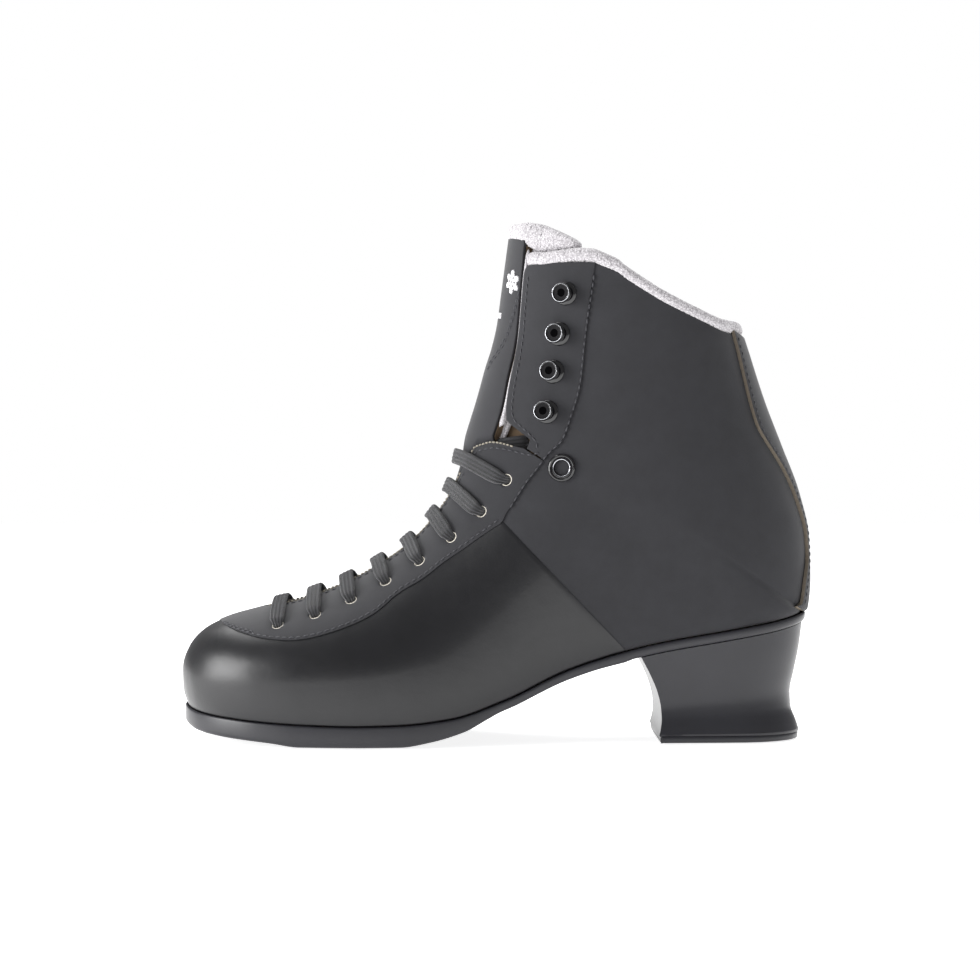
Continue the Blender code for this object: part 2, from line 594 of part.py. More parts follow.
def make_sole():
    stations = sole_stations()
    under = sole_underside(stations)
    top = lifted(stations, -TOUCH_GAP)
    slab("outsole", "sole", stations, (
        (SOLE_LEDGE - SOLE_EDGE_ROUND, under),
        (SOLE_LEDGE - SOLE_EDGE_SHARE * SOLE_EDGE_ROUND, under + SOLE_EDGE_SHARE * SOLE_EDGE_ROUND),
        (SOLE_LEDGE, under + SOLE_EDGE_ROUND),
        (SOLE_LEDGE, top)))

    flat_slab("insole_board", "board", stations, BOARD_MARGIN, TOUCH_GAP, BOARD_THICKNESS)
    flat_slab("footbed", "lining", stations, CAVITY_DEPTH + FOOTBED_MARGIN,
              CAVITY_DEPTH + FOOTBED_GAP, FOOTBED_THICKNESS)

    along = stations[:, 0] / (LENGTH_SCALE * MM)
    under_foot = (along > SHANK_FRONT) & (along < SHANK_BACK)
    waist = stations[under_foot].copy()
    waist[:, 2] = SHANK_WIDTH / 2
    floor = TOUCH_GAP + BOARD_THICKNESS + SHANK_GAP
    slab("shank", "steel", waist, (
        (0.0, lifted(stations, floor)[under_foot]),
        (0.0, lifted(stations, floor + SHANK_THICKNESS)[under_foot])))


def make_heel():
    """Heel block under the sole's rear and the thin lift that wears under it."""
    stations = sole_stations()
    heel = stations[stations[:, 0] > HEEL_ROUND_START * LENGTH_SCALE * MM]
    start = HEEL_START * LENGTH_SCALE * MM
    end = HEEL_END * LENGTH_SCALE * MM
    rows = last_row(np.linspace(HEEL_ROWS_FROM, SOLE_LAST_ROW, 20))
    straight_x = np.linspace(start, HEEL_ROUND_START * LENGTH_SCALE * MM, HEEL_FRONT_ROWS)
    columns = [np.interp(straight_x, rows[:, 2], rows[:, k]) for k in (9, 5, 3)]
    straight = np.column_stack([straight_x] + columns)
    heel = np.vstack((straight, heel))
    roof = heel[:, 3] - (HEEL_STRIP + TOUCH_GAP)
    share_along = (heel[:, 0] - start) / (end - start)
    profile = np.array(HEEL_PROFILE)

    def level(height_share, grow):
        front, back, width = smooth_curve(profile[:, 0], profile[:, 1:], np.array(height_share))
        front, back = front * LENGTH_SCALE * MM, back * LENGTH_SCALE * MM
        here = heel.copy()
        here[:, 0] = front + (back - front) * share_along
        here[:, 2] = heel[:, 2] * width
        return outline(here, grow)

    floor = LIFT_THICKNESS + TOUCH_GAP
    loops = []
    for height_share in HEEL_LEVELS:
        heights = floor + (roof - floor) * height_share
        loops.append(np.column_stack((level(height_share, 0.0), np.concatenate((heights, heights[::-1])))))
    stack("heel_block", "sole", loops)

    flat = np.zeros(2 * len(heel))
    stack("heel_lift", "sole", (
        np.column_stack((level(0.0, -LIFT_INSET - LIFT_CHAMFER), flat)),
        np.column_stack((level(0.0, -LIFT_INSET), flat + LIFT_CHAMFER)),
        np.column_stack((level(0.0, -LIFT_INSET), flat + LIFT_THICKNESS))))


# ---- upper -------------------------------------------------------------------------------------

BOTH = (-1, 1)


def collar_section(girth):
    points = np.array(COLLAR_LINE)
    return smooth_curve(points[:, 0], points[:, 1], girth)[..., 0]


def fan(low_section, top_section, low_girth, high_girth, rows, columns):
    """Section and girth grids between lines that depend on each other.

    low_section and top_section give a section for a girth; low_girth and high_girth give a girth
    for a section. A few rounds settle the two.
    """
    up = np.asarray(rows, float)[:, None]
    across = np.asarray(columns, float)[None, :]
    first, last = FAN_FIRST
    section = np.broadcast_to(first + (last - first) * up, (len(up), across.shape[1]))
    for _ in range(FAN_ROUNDS):
        low = low_girth(section)
        girth = low + (high_girth(section) - low) * across
        floor = low_section(girth)
        section = floor + (top_section(girth) - floor) * up
    return section, girth


def make_smooth_vamp():
    """Smooth leather round the toe and the lower sides, up to the stitched vamp edge."""
    sections = np.concatenate((TOE_ROWS, (WRAP_EDGE[0][0],), STAY_ROWS))
    low = np.where(sections < WRAP_EDGE[0][0], 0.0, seam(WRAP_EDGE, sections))
    panel("smooth_vamp", "smooth_leather", *grid(sections, low, np.ones_like(low), 9), BOTH, 0.0, LEATHER)


def make_lace_stay():
    """Matt vamp top: two sides joined in front of the throat, with the lace holes."""
    sections = np.array(STAY_ROWS)
    low = np.where(sections <= THROAT_EDGE[0][0], 0.0, seam(THROAT_EDGE, sections))
    high = seam(WRAP_EDGE, sections) - SEAM_TURN
    low_end, high_end = ruled(STAY_END_FRONT, STAY_END_BACK, 6)
    lower_sections, lower_girths = grid(sections, low, high, 6)
    sections = np.vstack((lower_sections, low_end.T))
    girths = np.vstack((lower_girths, high_end.T))
    stay = panel("lace_stay", "matt_leather", sections, girths, BOTH, 0.0, LEATHER)
    frames = [frame_on_last(place, side) for place in LACE_HOLE_PLACES for side in BOTH]
    cut(stay, pin_cutter("lace_hole_cutter", frames, LACE_HOLE, LEATHER * 3, 10))


def back_grid(rows, columns, drop=0.0):
    """Grids over the back of the boot: rows at the given sections, then up the shaft to the collar.

    A column is a share of the girth from the facing seam to the back centre line.
    """
    columns = np.array(columns)
    sections = np.repeat(np.array(rows)[:, None], len(columns), axis=1)
    girths = np.array([back_girth(section, columns) for section in rows])
    shaft = fan(lambda g: np.full_like(g, rows[-1]), lambda g: collar_section(g) - drop,
                lambda s: seam(FACING_SEAM, s) + SEAM_TURN, lambda s: np.full_like(s, HEEL_SEAM_GIRTH),
                np.linspace(0, 1, SHAFT_ROWS), columns)
    return np.vstack((sections, shaft[0][1:])), np.vstack((girths, shaft[1][1:]))


def back_girth(section, shares):
    low = seam(FACING_SEAM, np.array(section)) + SEAM_TURN
    return low + (HEEL_SEAM_GIRTH - low) * shares


def make_quarters(eyelet_cutters):
    """Matt side panels from the facing seam back to the heel seam, up to the collar."""
    grids = back_grid(HEEL_ROWS, BACK_COLUMNS)
    for side, name in ((-1, "quarter_outer"), (1, "quarter_inner")):
        quarter = panel(name, "matt_leather", *grids, (side,), 0.0, LEATHER)
        cut(quarter, eyelet_cutters[side])


def make_hook_facings():
    """The strips beside the tongue that carry the hooks, from the notch up to the collar."""
    for side, name in ((-1, "hook_facing_outer"), (1, "hook_facing_inner")):
        sections, girths = ruled(FACING_FRONT, FACING_BACK, 5)
        panel(name, "matt_leather", sections.T, girths.T, (side,), 0.0, LEATHER)


def make_backstay():
    """Strip over the heel seam, from the feather edge to the collar."""
    low = seam(BACKSTAY_EDGE, BACKSTAY_ROWS)
    panel("backstay", "matt_leather", *grid(BACKSTAY_ROWS, low, np.ones_like(low), 5), BOTH,
          -(BACKSTAY + LAYER_GAP / 2), BACKSTAY)


def shell(name, slot, rows_sections, rows_girths, depth, thickness):
    """A closed inner shell: both sides, the floor between the feather edges and the toe's end."""
    bm = bmesh.new()
    sides = [weave(bm, on_last(rows_sections, rows_girths, side, depth), side) for side in BOTH]
    near, far = sides
    for k in range(len(near) - 1):
        if rows_sections[k + 1, -1] <= HEEL_CORNER:
            bm.faces.new((near[k][-1], far[k][-1], far[k + 1][-1], near[k + 1][-1]))
    for k in range(len(near[0]) - 1):
        bm.faces.new((near[0][k], far[0][k], far[0][k + 1], near[0][k + 1]))
    bmesh.ops.remove_doubles(bm, verts=bm.verts, dist=WELD_DISTANCE)
    bmesh.ops.dissolve_degenerate(bm, edges=bm.edges, dist=WELD_DISTANCE)
    obj = add_object(name, bm, slot)
    thicken(obj, thickness)
    return obj


def make_lining(eyelet_cutter):
    """The inner shell that the foot stands in; it stops short of the laced throat."""
    toe = np.array(LINING_TOE_ROWS)
    low = np.where(toe <= LINING_EDGE[0][0], 0.0, seam(LINING_EDGE, toe))
    toe_sections, toe_girths = grid(toe, low, np.ones_like(toe), len(LINING_COLUMNS) + 2)
    back_sections, back_girths = back_grid(LINING_HEEL_ROWS, LINING_COLUMNS, LINING_DROP)
    back_girths[:, -1] = 1.0
    edge = seam(LINING_EDGE, back_sections[:, 0])
    halfway = (edge + back_girths[:, 0]) / 2
    at_edge, at_halfway = (section_under_collar(girth, back_sections[:, 0]) for girth in (edge, halfway))
    sections = np.vstack((toe_sections, np.column_stack((at_edge, at_halfway, back_sections))))
    girths = np.vstack((toe_girths, np.column_stack((edge, halfway, back_girths))))
    lining = shell("lining", "lining", sections, girths, LINING_DEPTH, LINING)
    cut(lining, eyelet_cutter)


def section_under_collar(girth, sections):
    """Sections of a shaft column that ends under the collar's own line at its girth."""
    start = float(HEEL_CORNER)
    top = collar_section(girth[-1]) - LINING_DROP
    share = np.clip((sections - start) / (sections[-1] - start), 0.0, 1.0)
    return np.where(sections > start, start + (top - start) * share, sections)


def make_stiffeners(eyelet_cutters):
    """Toe puff, heel counter and the foam beside the ankle, between the leather and the lining."""
    toe = np.array(PUFF_ROWS)
    panel("toe_puff", "board", *grid(toe, np.zeros_like(toe), np.full_like(toe, PUFF_GIRTH), 7), BOTH,
          STIFFENER_DEPTH, STIFFENER)
    sections, girths = back_grid(HEEL_ROWS, BACK_COLUMNS, LINING_DROP)
    girths[:, -1] = 1.0
    panel("heel_counter", "board", sections[COUNTER_PART], girths[COUNTER_PART], BOTH,
          STIFFENER_DEPTH, STIFFENER)
    for side, name in ((-1, "quarter_foam_outer"), (1, "quarter_foam_inner")):
        foam = panel(name, "foam", sections[FOAM_PART], girths[FOAM_PART], (side,),
                     STIFFENER_DEPTH, STIFFENER)
        cut(foam, eyelet_cutters[side])


def make_tongue():
    """Tongue: a root under the laces, and the cover, lining and terry band above its bend."""
    root = fan(lambda g: np.full_like(g, ROOT_START), lambda g: seam(ROOT_TOP, g), np.zeros_like,
               lambda s: np.full_like(s, ROOT_GIRTH), np.linspace(0, 1, 11), np.linspace(0, 1, 5))
    at_edge = np.clip((root[1] - ROOT_BEND_GIRTH) / (ROOT_GIRTH - ROOT_BEND_GIRTH), 0, 1)
    panel("tongue_root", "matt_leather", *root, BOTH, ROOT_DEPTH + (ROOT_EDGE_DEPTH - ROOT_DEPTH) * at_edge,
          ROOT_THICKNESS)

    bend = HINGE_HEIGHT * HEIGHT_SCALE
    hinge = bpy.data.objects.new("tongue_hinge", None)
    hinge.location = on_last(section_at_height(0.0, bend), 0.0, -1, HINGE_DEPTH)
    bpy.context.collection.objects.link(hinge)

    girths = np.linspace(0, TONGUE_WIDEST_GIRTH, 16)
    bend_sections = np.array([section_at_height(girth, bend + HINGE_CLEARANCE / 2) for girth in girths])
    upper = fan(lambda g: np.interp(g, girths, bend_sections), lambda g: np.full_like(g, TONGUE_COVER_TOP),
                np.zeros_like, lambda s: seam(TONGUE_EDGE, s), np.linspace(0, 1, 10), np.linspace(0, 1, 5))
    low, top = np.array(BAND_LOW), np.array(BAND_TOP)
    share = np.linspace(0, 1, 4)[:, None]
    band_sections = low[:, 1] + (top[:, 1] - low[:, 1]) * share
    band = (band_sections, np.broadcast_to(low[:, 0], band_sections.shape))
    for name, slot, grids, depth, thickness in (
            ("tongue_front", "matt_leather", upper, 0.0, LEATHER),
            ("tongue_lining", "terry", upper, LEATHER + LAYER_GAP / 2, TONGUE_FOAM),
            ("tongue_band", "terry", band, LAYER_GAP / 2, BAND_THICKNESS)):
        piece = panel(name, slot, *grids, BOTH, depth, thickness)
        piece.parent = hinge
        piece.matrix_parent_inverse = Matrix.Translation(-hinge.location)


def make_collar_roll():
    """Padded terry roll along the collar, from one side of the tongue round the back to the other."""
    near = [(collar_section(np.array(g)), g, -1) for g in ROLL_GIRTHS]
    far = [(section, g, 1) for section, g, side in reversed(near)]
    stops = near + [(collar_section(np.array(1.0)), 1.0, -1)] + far
    middle = (LINING_DEPTH + LINING) / 2 + ROLL_OUTWARD
    path = []
    for section, girth, side in stops:
        edge = Vector(on_last(section, girth, side, middle))
        above = Vector(on_last(section + UP_STEP, girth, side, middle))
        up = (above - edge).normalized()
        path.append((edge + up * (ROLL_HEIGHT / 2 + ROLL_RISE), up))
    bm = bmesh.new()
    rings = []
    last = len(path) - 1
    for k, (centre, up) in enumerate(path):
        ahead = path[min(k + 1, last)][0] - path[max(k - 1, 0)][0]
        across = ahead.cross(up).normalized()
        size = ROLL_END_SIZE if k in (0, last) else 1.0
        ring = []
        for step in range(ROLL_SIDES):
            angle = 2 * math.pi * step / ROLL_SIDES
            offset = across * math.cos(angle) * ROLL_THICKNESS / 2 + up * math.sin(angle) * ROLL_HEIGHT / 2
            ring.append(bm.verts.new(centre + offset * size))
        rings.append(ring)
    join_rings(bm, rings)
    bmesh.ops.recalc_face_normals(bm, faces=bm.faces)
    add_object("collar_roll", bm, "terry")


# ---- hardware ----------------------------------------------------------------------------------

def make_hooks():
    """Four lace hooks a side: a round base, a neck and a domed head."""
    base, neck, head = HOOK_BASE_DIAMETER / 2, HOOK_NECK_DIAMETER / 2, HOOK_HEAD_DIAMETER / 2
    neck_top = HOOK_BASE_THICKNESS + HOOK_NECK_LENGTH
    top = neck_top + HOOK_HEAD_THICKNESS
    profile = ((base, 0.0), (base, 0.55 * HOOK_BASE_THICKNESS), (0.8 * base, HOOK_BASE_THICKNESS),
               (neck, HOOK_BASE_THICKNESS), (neck, neck_top), (0.8 * head, neck_top),
               (head, neck_top + 0.35 * HOOK_HEAD_THICKNESS),
               (0.85 * head, neck_top + 0.75 * HOOK_HEAD_THICKNESS), (0.45 * head, top))
    for side, where in ((-1, "outer"), (1, "inner")):
        for number, place in enumerate(HOOK_PLACES, start=1):
            bm = bmesh.new()
            join_rings(bm, turned(bm, profile, 12, frame_on_last(place, side, -TOUCH_GAP)))
            bmesh.ops.recalc_face_normals(bm, faces=bm.faces)
            add_object(f"hook_{where}_{number}", bm, "black_metal", 30)


def make_eyelets():
    """One large eyelet a side: a rolled flange outside and a barrel through every layer."""
    outer, hole, barrel = EYELET_DIAMETER / 2, EYELET_HOLE / 2, EYELET_HOLE / 2 + EYELET_WALL
    profile = ((hole, -EYELET_REACH), (barrel, -EYELET_REACH), (barrel, TOUCH_GAP), (outer, TOUCH_GAP),
               (outer, 0.5 * EYELET_FLANGE), (0.85 * outer, EYELET_FLANGE),
               (hole + EYELET_ROUND, EYELET_FLANGE), (hole, 0.6 * EYELET_FLANGE))
    for side, name in ((-1, "eyelet_outer"), (1, "eyelet_inner")):
        bm = bmesh.new()
        join_rings(bm, turned(bm, profile, 16, frame_on_last(EYELET_PLACE, side, -TOUCH_GAP)), False)
        bmesh.ops.recalc_face_normals(bm, faces=bm.faces)
        add_object(name, bm, "black_metal", 30)


# ---- lace --------------------------------------------------------------------------------------

def tube(name, slot, points, diameter):
    """A round cord along points, with filled ends."""
    curve = bpy.data.curves.new(name, "CURVE")
    curve.dimensions = "3D"
    curve.bevel_depth = diameter / 2
    curve.bevel_resolution = 2
    curve.use_fill_caps = True
    spline = curve.splines.new("POLY")
    spline.points.add(len(points) - 1)
    for target, point in zip(spline.points, points):
        target.co = (*point, 1.0)
    curve.materials.append(material(slot))
    obj = bpy.data.objects.new(name, curve)
    bpy.context.collection.objects.link(obj)
    return obj


def lace_route():
    """The lace from the inner tuck, down under the stay, then bar by bar up to the outer tuck."""
    first_section, first_girth = LACE_HOLE_PLACES[0]
    route = [(section, girth, 1, LACE_RUN_DEPTH) for section, girth in reversed(LACE_END_LOOP)]
    for section, girth in reversed(LACE_HOLE_PLACES[:-1]):
        route.append((section, girth - LACE_RUN_ASIDE, 1, LACE_RUN_DEPTH))
    for share, side in ((0.5, 1), (0.0, 1), (0.5, -1)):
        route.append((first_section, share * first_girth, side, LACE_RUN_DEPTH))
    side = -1
    for section, girth in LACE_HOLE_PLACES:
        edge = float(seam(THROAT_EDGE, np.array(section)))
        # a bar: up through one hole, straight over the throat and down through the opposite hole
        route += [(section, girth, side, LACE_RUN_DEPTH), (section, girth, side, -LACE_RISE),
                  (section, edge, side, -LACE_RISE), (section, 0.0, side, -LACE_OVER),
                  (section, edge, -side, -LACE_RISE), (section, girth, -side, -LACE_RISE),
                  (section, girth, -side, LACE_RUN_DEPTH)]
        side = -side
    route += [(section, girth, -1, LACE_RUN_DEPTH) for section, girth in LACE_END_LOOP]
    return route


def halved(route):
    """The route with one more place half way between every two at the same side and depth."""
    places = [route[0]]
    for before, after in zip(route, route[1:]):
        if before[2:] == after[2:]:
            places.append(((before[0] + after[0]) / 2, (before[1] + after[1]) / 2, *after[2:]))
        places.append(after)
    return places


def make_lace():
    """The lace through the eight lower rows, from one tuck below the notch to the other."""
    tube("lace", "lace", [Vector(on_last(*place)) for place in halved(lace_route())], LACE_DIAMETER)


def rest_height(x):
    """Height of the footbed's top over the floor, under the hanks."""
    stations = sole_stations()
    top = lifted(stations, CAVITY_DEPTH + FOOTBED_GAP + FOOTBED_THICKNESS)
    return np.interp(x, stations[:, 0], top)


def make_tails():
    """Each free end of the lace: a tail down inside the boot, its hank on the footbed, a tie and an aglet."""
    centre = HANK_CENTRE * LENGTH_SCALE
    half = HANK_LENGTH / 2
    radius = HANK_WIDTH / 2
    turn = np.radians(HANK_END_ANGLES)
    ends = half - radius + radius * np.cos(turn)
    straight = np.linspace(centre - half + radius, centre + half - radius, HANK_STRAIGHT_ROWS)
    x = np.concatenate((centre - ends, straight, (centre + ends)[::-1]))
    width = radius * np.sin(turn)
    widths = np.concatenate((width, np.full(HANK_STRAIGHT_ROWS, radius), width[::-1]))
    floor = rest_height(x) + HANK_REST
    for side, where in ((-1, "outer"), (1, "inner")):
        stations = np.column_stack((x, np.full_like(x, side * HANK_OFFSET), widths, floor))
        slab(f"lace_hank_{where}", "lace", stations, ((0.0, floor), (0.0, floor + HANK_HEIGHT)))

        wall = [on_last(section, girth, side, depth) for section, girth, depth in TAIL_PLACES]
        end_x = centre + half + LACE_DIAMETER / 2 + TAIL_END_GAP
        middle = HANK_REST + HANK_HEIGHT / 2
        turn_x, turn_y = TAIL_LAST_TURN
        last_turns = [(turn_x, side * turn_y, rest_height(turn_x) + middle),
                      (end_x, side * HANK_OFFSET, rest_height(end_x) + middle)]
        tube(f"lace_tail_{where}", "lace", [*wall, *last_turns], LACE_DIAMETER)

        make_tie(f"lace_tie_{where}", Vector((centre, side * HANK_OFFSET, rest_height(centre) + middle)))

        on_top = HANK_REST + HANK_HEIGHT + TOUCH_GAP + AGLET_DIAMETER / 2
        start, end = AGLET_START, AGLET_START + AGLET_LENGTH
        bm = bmesh.new()
        along = Vector((end - start, 0, rest_height(end) - rest_height(start)))
        frame = Matrix.Translation((start, side * HANK_OFFSET, rest_height(start) + on_top))
        frame = frame @ along.to_track_quat("Z", "Y").to_matrix().to_4x4()
        radius_here = AGLET_DIAMETER / 2
        join_rings(bm, turned(bm, ((radius_here, 0.0), (radius_here, AGLET_LENGTH)), 12, frame))
        bmesh.ops.recalc_face_normals(bm, faces=bm.faces)
        add_object(f"aglet_{where}", bm, "aglet")


def make_tie(name, centre):
    """An elastic band round the middle of a hank."""
    rings = []
    bm = bmesh.new()
    for x, grow in ((-0.5, TIE_THICKNESS), (0.5, TIE_THICKNESS), (0.5, 0.0), (-0.5, 0.0)):
        wide = HANK_WIDTH / 2 + TOUCH_GAP + grow
        high = HANK_HEIGHT / 2 + TOUCH_GAP + grow
        corners = ((-wide, -high), (wide, -high), (wide, high), (-wide, high))
        rings.append([bm.verts.new(centre + Vector((x * TIE_WIDTH, y, z))) for y, z in corners])
    join_rings(bm, rings, False)
    bmesh.ops.recalc_face_normals(bm, faces=bm.faces)
    add_object(name, bm, "lace_tie")


def build():
    for obj in list(bpy.data.objects):
        bpy.data.objects.remove(obj, do_unlink=True)
    make_sole()
    make_heel()
    cutters = {side: pin_cutter(f"eyelet_cutter_{side + 1}", [frame_on_last(EYELET_PLACE, side)],
                                EYELET_HOLE + 2 * (EYELET_WALL + EYELET_CLEARANCE), EYELET_CUT_LENGTH, 16)
               for side in BOTH}
    both = pin_cutter("eyelet_cutter_pair", [frame_on_last(EYELET_PLACE, side) for side in BOTH],
                      EYELET_HOLE + 2 * (EYELET_WALL + EYELET_CLEARANCE), EYELET_CUT_LENGTH, 16)
    make_smooth_vamp()
    make_lace_stay()
    make_quarters(cutters)
    make_hook_facings()
    make_backstay()
    make_lining(both)
    make_stiffeners(cutters)
    make_tongue()
    make_collar_roll()
    make_hooks()
    make_eyelets()
    make_lace()
    make_tails()


build()
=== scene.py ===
import math

import bmesh
import bpy
import numpy as np
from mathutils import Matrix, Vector


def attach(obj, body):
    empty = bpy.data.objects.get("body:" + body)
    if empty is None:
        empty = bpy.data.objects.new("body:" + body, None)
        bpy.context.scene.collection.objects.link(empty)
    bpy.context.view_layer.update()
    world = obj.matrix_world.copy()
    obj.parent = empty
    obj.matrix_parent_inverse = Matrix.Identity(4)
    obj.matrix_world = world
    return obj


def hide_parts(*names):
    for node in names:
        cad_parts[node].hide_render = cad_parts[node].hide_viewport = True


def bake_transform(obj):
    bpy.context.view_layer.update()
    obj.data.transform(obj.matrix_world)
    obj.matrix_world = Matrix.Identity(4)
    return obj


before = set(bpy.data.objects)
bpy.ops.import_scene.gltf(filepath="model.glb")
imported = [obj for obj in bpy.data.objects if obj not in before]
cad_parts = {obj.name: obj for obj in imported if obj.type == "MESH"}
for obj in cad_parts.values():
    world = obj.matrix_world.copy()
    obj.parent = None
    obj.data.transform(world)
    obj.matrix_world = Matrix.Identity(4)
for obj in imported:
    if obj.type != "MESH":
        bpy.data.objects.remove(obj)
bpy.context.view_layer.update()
mm = 0.001
outerSide, innerSide = -1, 1
bothSides = (outerSide, innerSide)
print("frame loaded")


# The camera stands level with the middle of the shaft, far enough back for little perspective.
cameraSettings = {"place": (-0.00295, -0.970, 0.1118), "lens": 78.4, "sensor": 36.0}
cameraData = bpy.data.cameras.new("camera")
cameraData.lens = cameraSettings["lens"]
cameraData.sensor_width = cameraSettings["sensor"]
camera = bpy.data.objects.new("camera", cameraData)
camera.location = cameraSettings["place"]
camera.rotation_euler = (math.radians(90), 0, 0)
bpy.context.scene.collection.objects.link(camera)
bpy.context.scene.camera = camera


# The last is the shape that every layer of the upper lies on. A section runs from the front line to the base;
# girth is 0 on the front centre line, widestGirth at the widest point and 1 at the feather edge or the back
# centre line; depth is measured inwards.
# Columns: front x, front z, base x, base z, half width, half width at the feather edge,
# share of the way down where it is widest, roundness above, roundness below, centre's y (millimetres).
lastRows = np.array((
    (-140.3, 16.0, -140.3, 16.0, 0.0, 0.0, 0.70, 2.0, 2.0, 5.0),
    (-142.6, 24.0, -139.6, 15.6, 9.0, 8.0, 0.70, 2.0, 2.0, 5.0),
    (-142.4, 33.0, -138.0, 14.7, 16.0, 14.2, 0.70, 2.1, 2.0, 5.0),
    (-139.3, 41.5, -134.0, 13.6, 24.5, 22.0, 0.69, 2.2, 2.0, 4.8),
    (-133.0, 48.6, -127.0, 12.5, 32.3, 29.8, 0.68, 2.2, 2.0, 4.4),
    (-122.5, 54.0, -117.0, 11.6, 39.2, 36.7, 0.67, 2.2, 2.0, 3.6),
    (-108.0, 58.2, -103.0, 10.6, 44.8, 42.2, 0.66, 2.1, 2.0, 2.4),
    (-90.0, 62.5, -85.0, 9.8, 48.3, 45.8, 0.66, 2.0, 2.0, 1.0),
    (-72.0, 69.0, -64.0, 9.3, 49.5, 46.8, 0.67, 1.9, 2.0, 0.0),
    (-55.0, 77.8, -42.0, 9.7, 48.0, 44.5, 0.68, 1.8, 2.0, -0.8),
    (-40.0, 88.0, -20.0, 12.0, 45.0, 40.2, 0.68, 1.8, 2.0, -1.2),
    (-28.5, 99.8, 4.0, 20.0, 42.3, 35.2, 0.64, 1.8, 1.9, -1.4),
    (-21.0, 111.5, 32.0, 33.0, 40.8, 31.3, 0.58, 1.8, 1.6, -1.2),
    (-17.0, 123.0, 68.0, 43.6, 40.4, 28.8, 0.52, 1.9, 1.4, -0.8),
    (-14.5, 135.0, 104.0, 50.0, 40.8, 27.2, 0.48, 2.0, 1.4, -0.4),
    (-12.0, 143.5, 126.0, 54.0, 41.3, 20.9, 0.46, 2.0, 1.6, 0.0),
    (-9.8, 150.5, 135.5, 56.4, 41.8, 11.2, 0.45, 2.0, 1.8, 0.0),
    (-7.8, 157.5, 138.8, 57.6, 42.0, 0.0, 0.45, 2.0, 2.0, 0.0),
    (-5.2, 167.0, 140.6, 73.0, 42.1, 0.0, 0.45, 2.0, 2.0, 0.0),
    (-2.2, 176.5, 140.3, 90.0, 42.0, 0.0, 0.45, 2.0, 2.0, 0.0),
    (0.2, 187.0, 136.0, 110.0, 41.8, 0.0, 0.45, 2.0, 2.0, 0.0),
    (1.7, 198.0, 128.0, 131.0, 41.6, 0.0, 0.46, 2.0, 2.1, 0.0),
    (3.1, 208.5, 120.2, 151.0, 41.8, 0.0, 0.47, 2.0, 2.2, 0.0),
    (4.5, 219.0, 113.6, 171.0, 42.0, 0.0, 0.48, 2.0, 2.3, 0.0),
    (6.0, 230.0, 109.0, 186.5, 42.2, 0.0, 0.48, 2.0, 2.3, 0.0),
    (7.6, 241.0, 107.0, 200.0, 42.2, 0.0, 0.48, 2.0, 2.3, 0.0),
))
lastEnd = len(lastRows) - 1
widestGirth = 0.6
heelCorner = 17.0


def smoothCurve(places, values, at):
    # cubic through the points whose slope is the harmonic mean of its neighbours', so it never overshoots
    places = np.asarray(places, float)
    values = np.asarray(values, float).reshape(len(places), -1)
    steps = np.diff(places)[:, None]
    slopes = np.diff(values, axis=0) / steps
    tangents = np.zeros_like(values)
    before, after = slopes[:-1], slopes[1:]
    sameWay = before * after > 0
    tangents[1:-1] = np.where(sameWay, 2 * before * after / np.where(sameWay, before + after, 1.0), 0.0)
    tangents[0], tangents[-1] = slopes[0], slopes[-1]
    at = np.clip(np.asarray(at, float), places[0], places[-1])
    index = np.clip(np.searchsorted(places, at, side="right") - 1, 0, len(places) - 2)
    step = steps[index]
    f = (at[..., None] - places[index][..., None]) / step
    return ((2 * f ** 3 - 3 * f ** 2 + 1) * values[index] + (f ** 3 - 2 * f ** 2 + f) * step * tangents[index]
            + (3 * f ** 2 - 2 * f ** 3) * values[index + 1] + (f ** 3 - f ** 2) * step * tangents[index + 1])


def lastRow(section):
    row = smoothCurve(np.arange(lastEnd + 1), lastRows, section)
    row[..., [0, 1, 2, 3, 4, 5, 9]] *= mm
    return row


def inwardNormal(behind, ahead, column, turn):
    # the direction between two near sections, turned a quarter in x and z
    along = lastRow(ahead)[..., column:column + 2] - lastRow(behind)[..., column:column + 2]
    along = along / (np.linalg.norm(along, axis=-1, keepdims=True) + 1e-12)
    return turn * np.stack((along[..., 1], -along[..., 0]), -1)


def baseInward(section):
    # up off the sole, forward off the back, and both at the heel's corner
    floorAt, wallAt = np.minimum(section, heelCorner), np.maximum(section, heelCorner)
    floor = inwardNormal(np.maximum(floorAt - 0.5, 0), np.minimum(floorAt + 0.5, heelCorner), 2, -1.0)
    wall = inwardNormal(np.maximum(wallAt - 0.5, heelCorner), np.minimum(wallAt + 0.5, lastEnd), 2, -1.0)
    nearWall = np.clip(1 - (heelCorner - section) / 3.5, 0, 1) ** 2
    nearFloor = np.clip(1 - (section - heelCorner) / 2.0, 0, 1)
    return floor * nearFloor[..., None] + wall * nearWall[..., None]


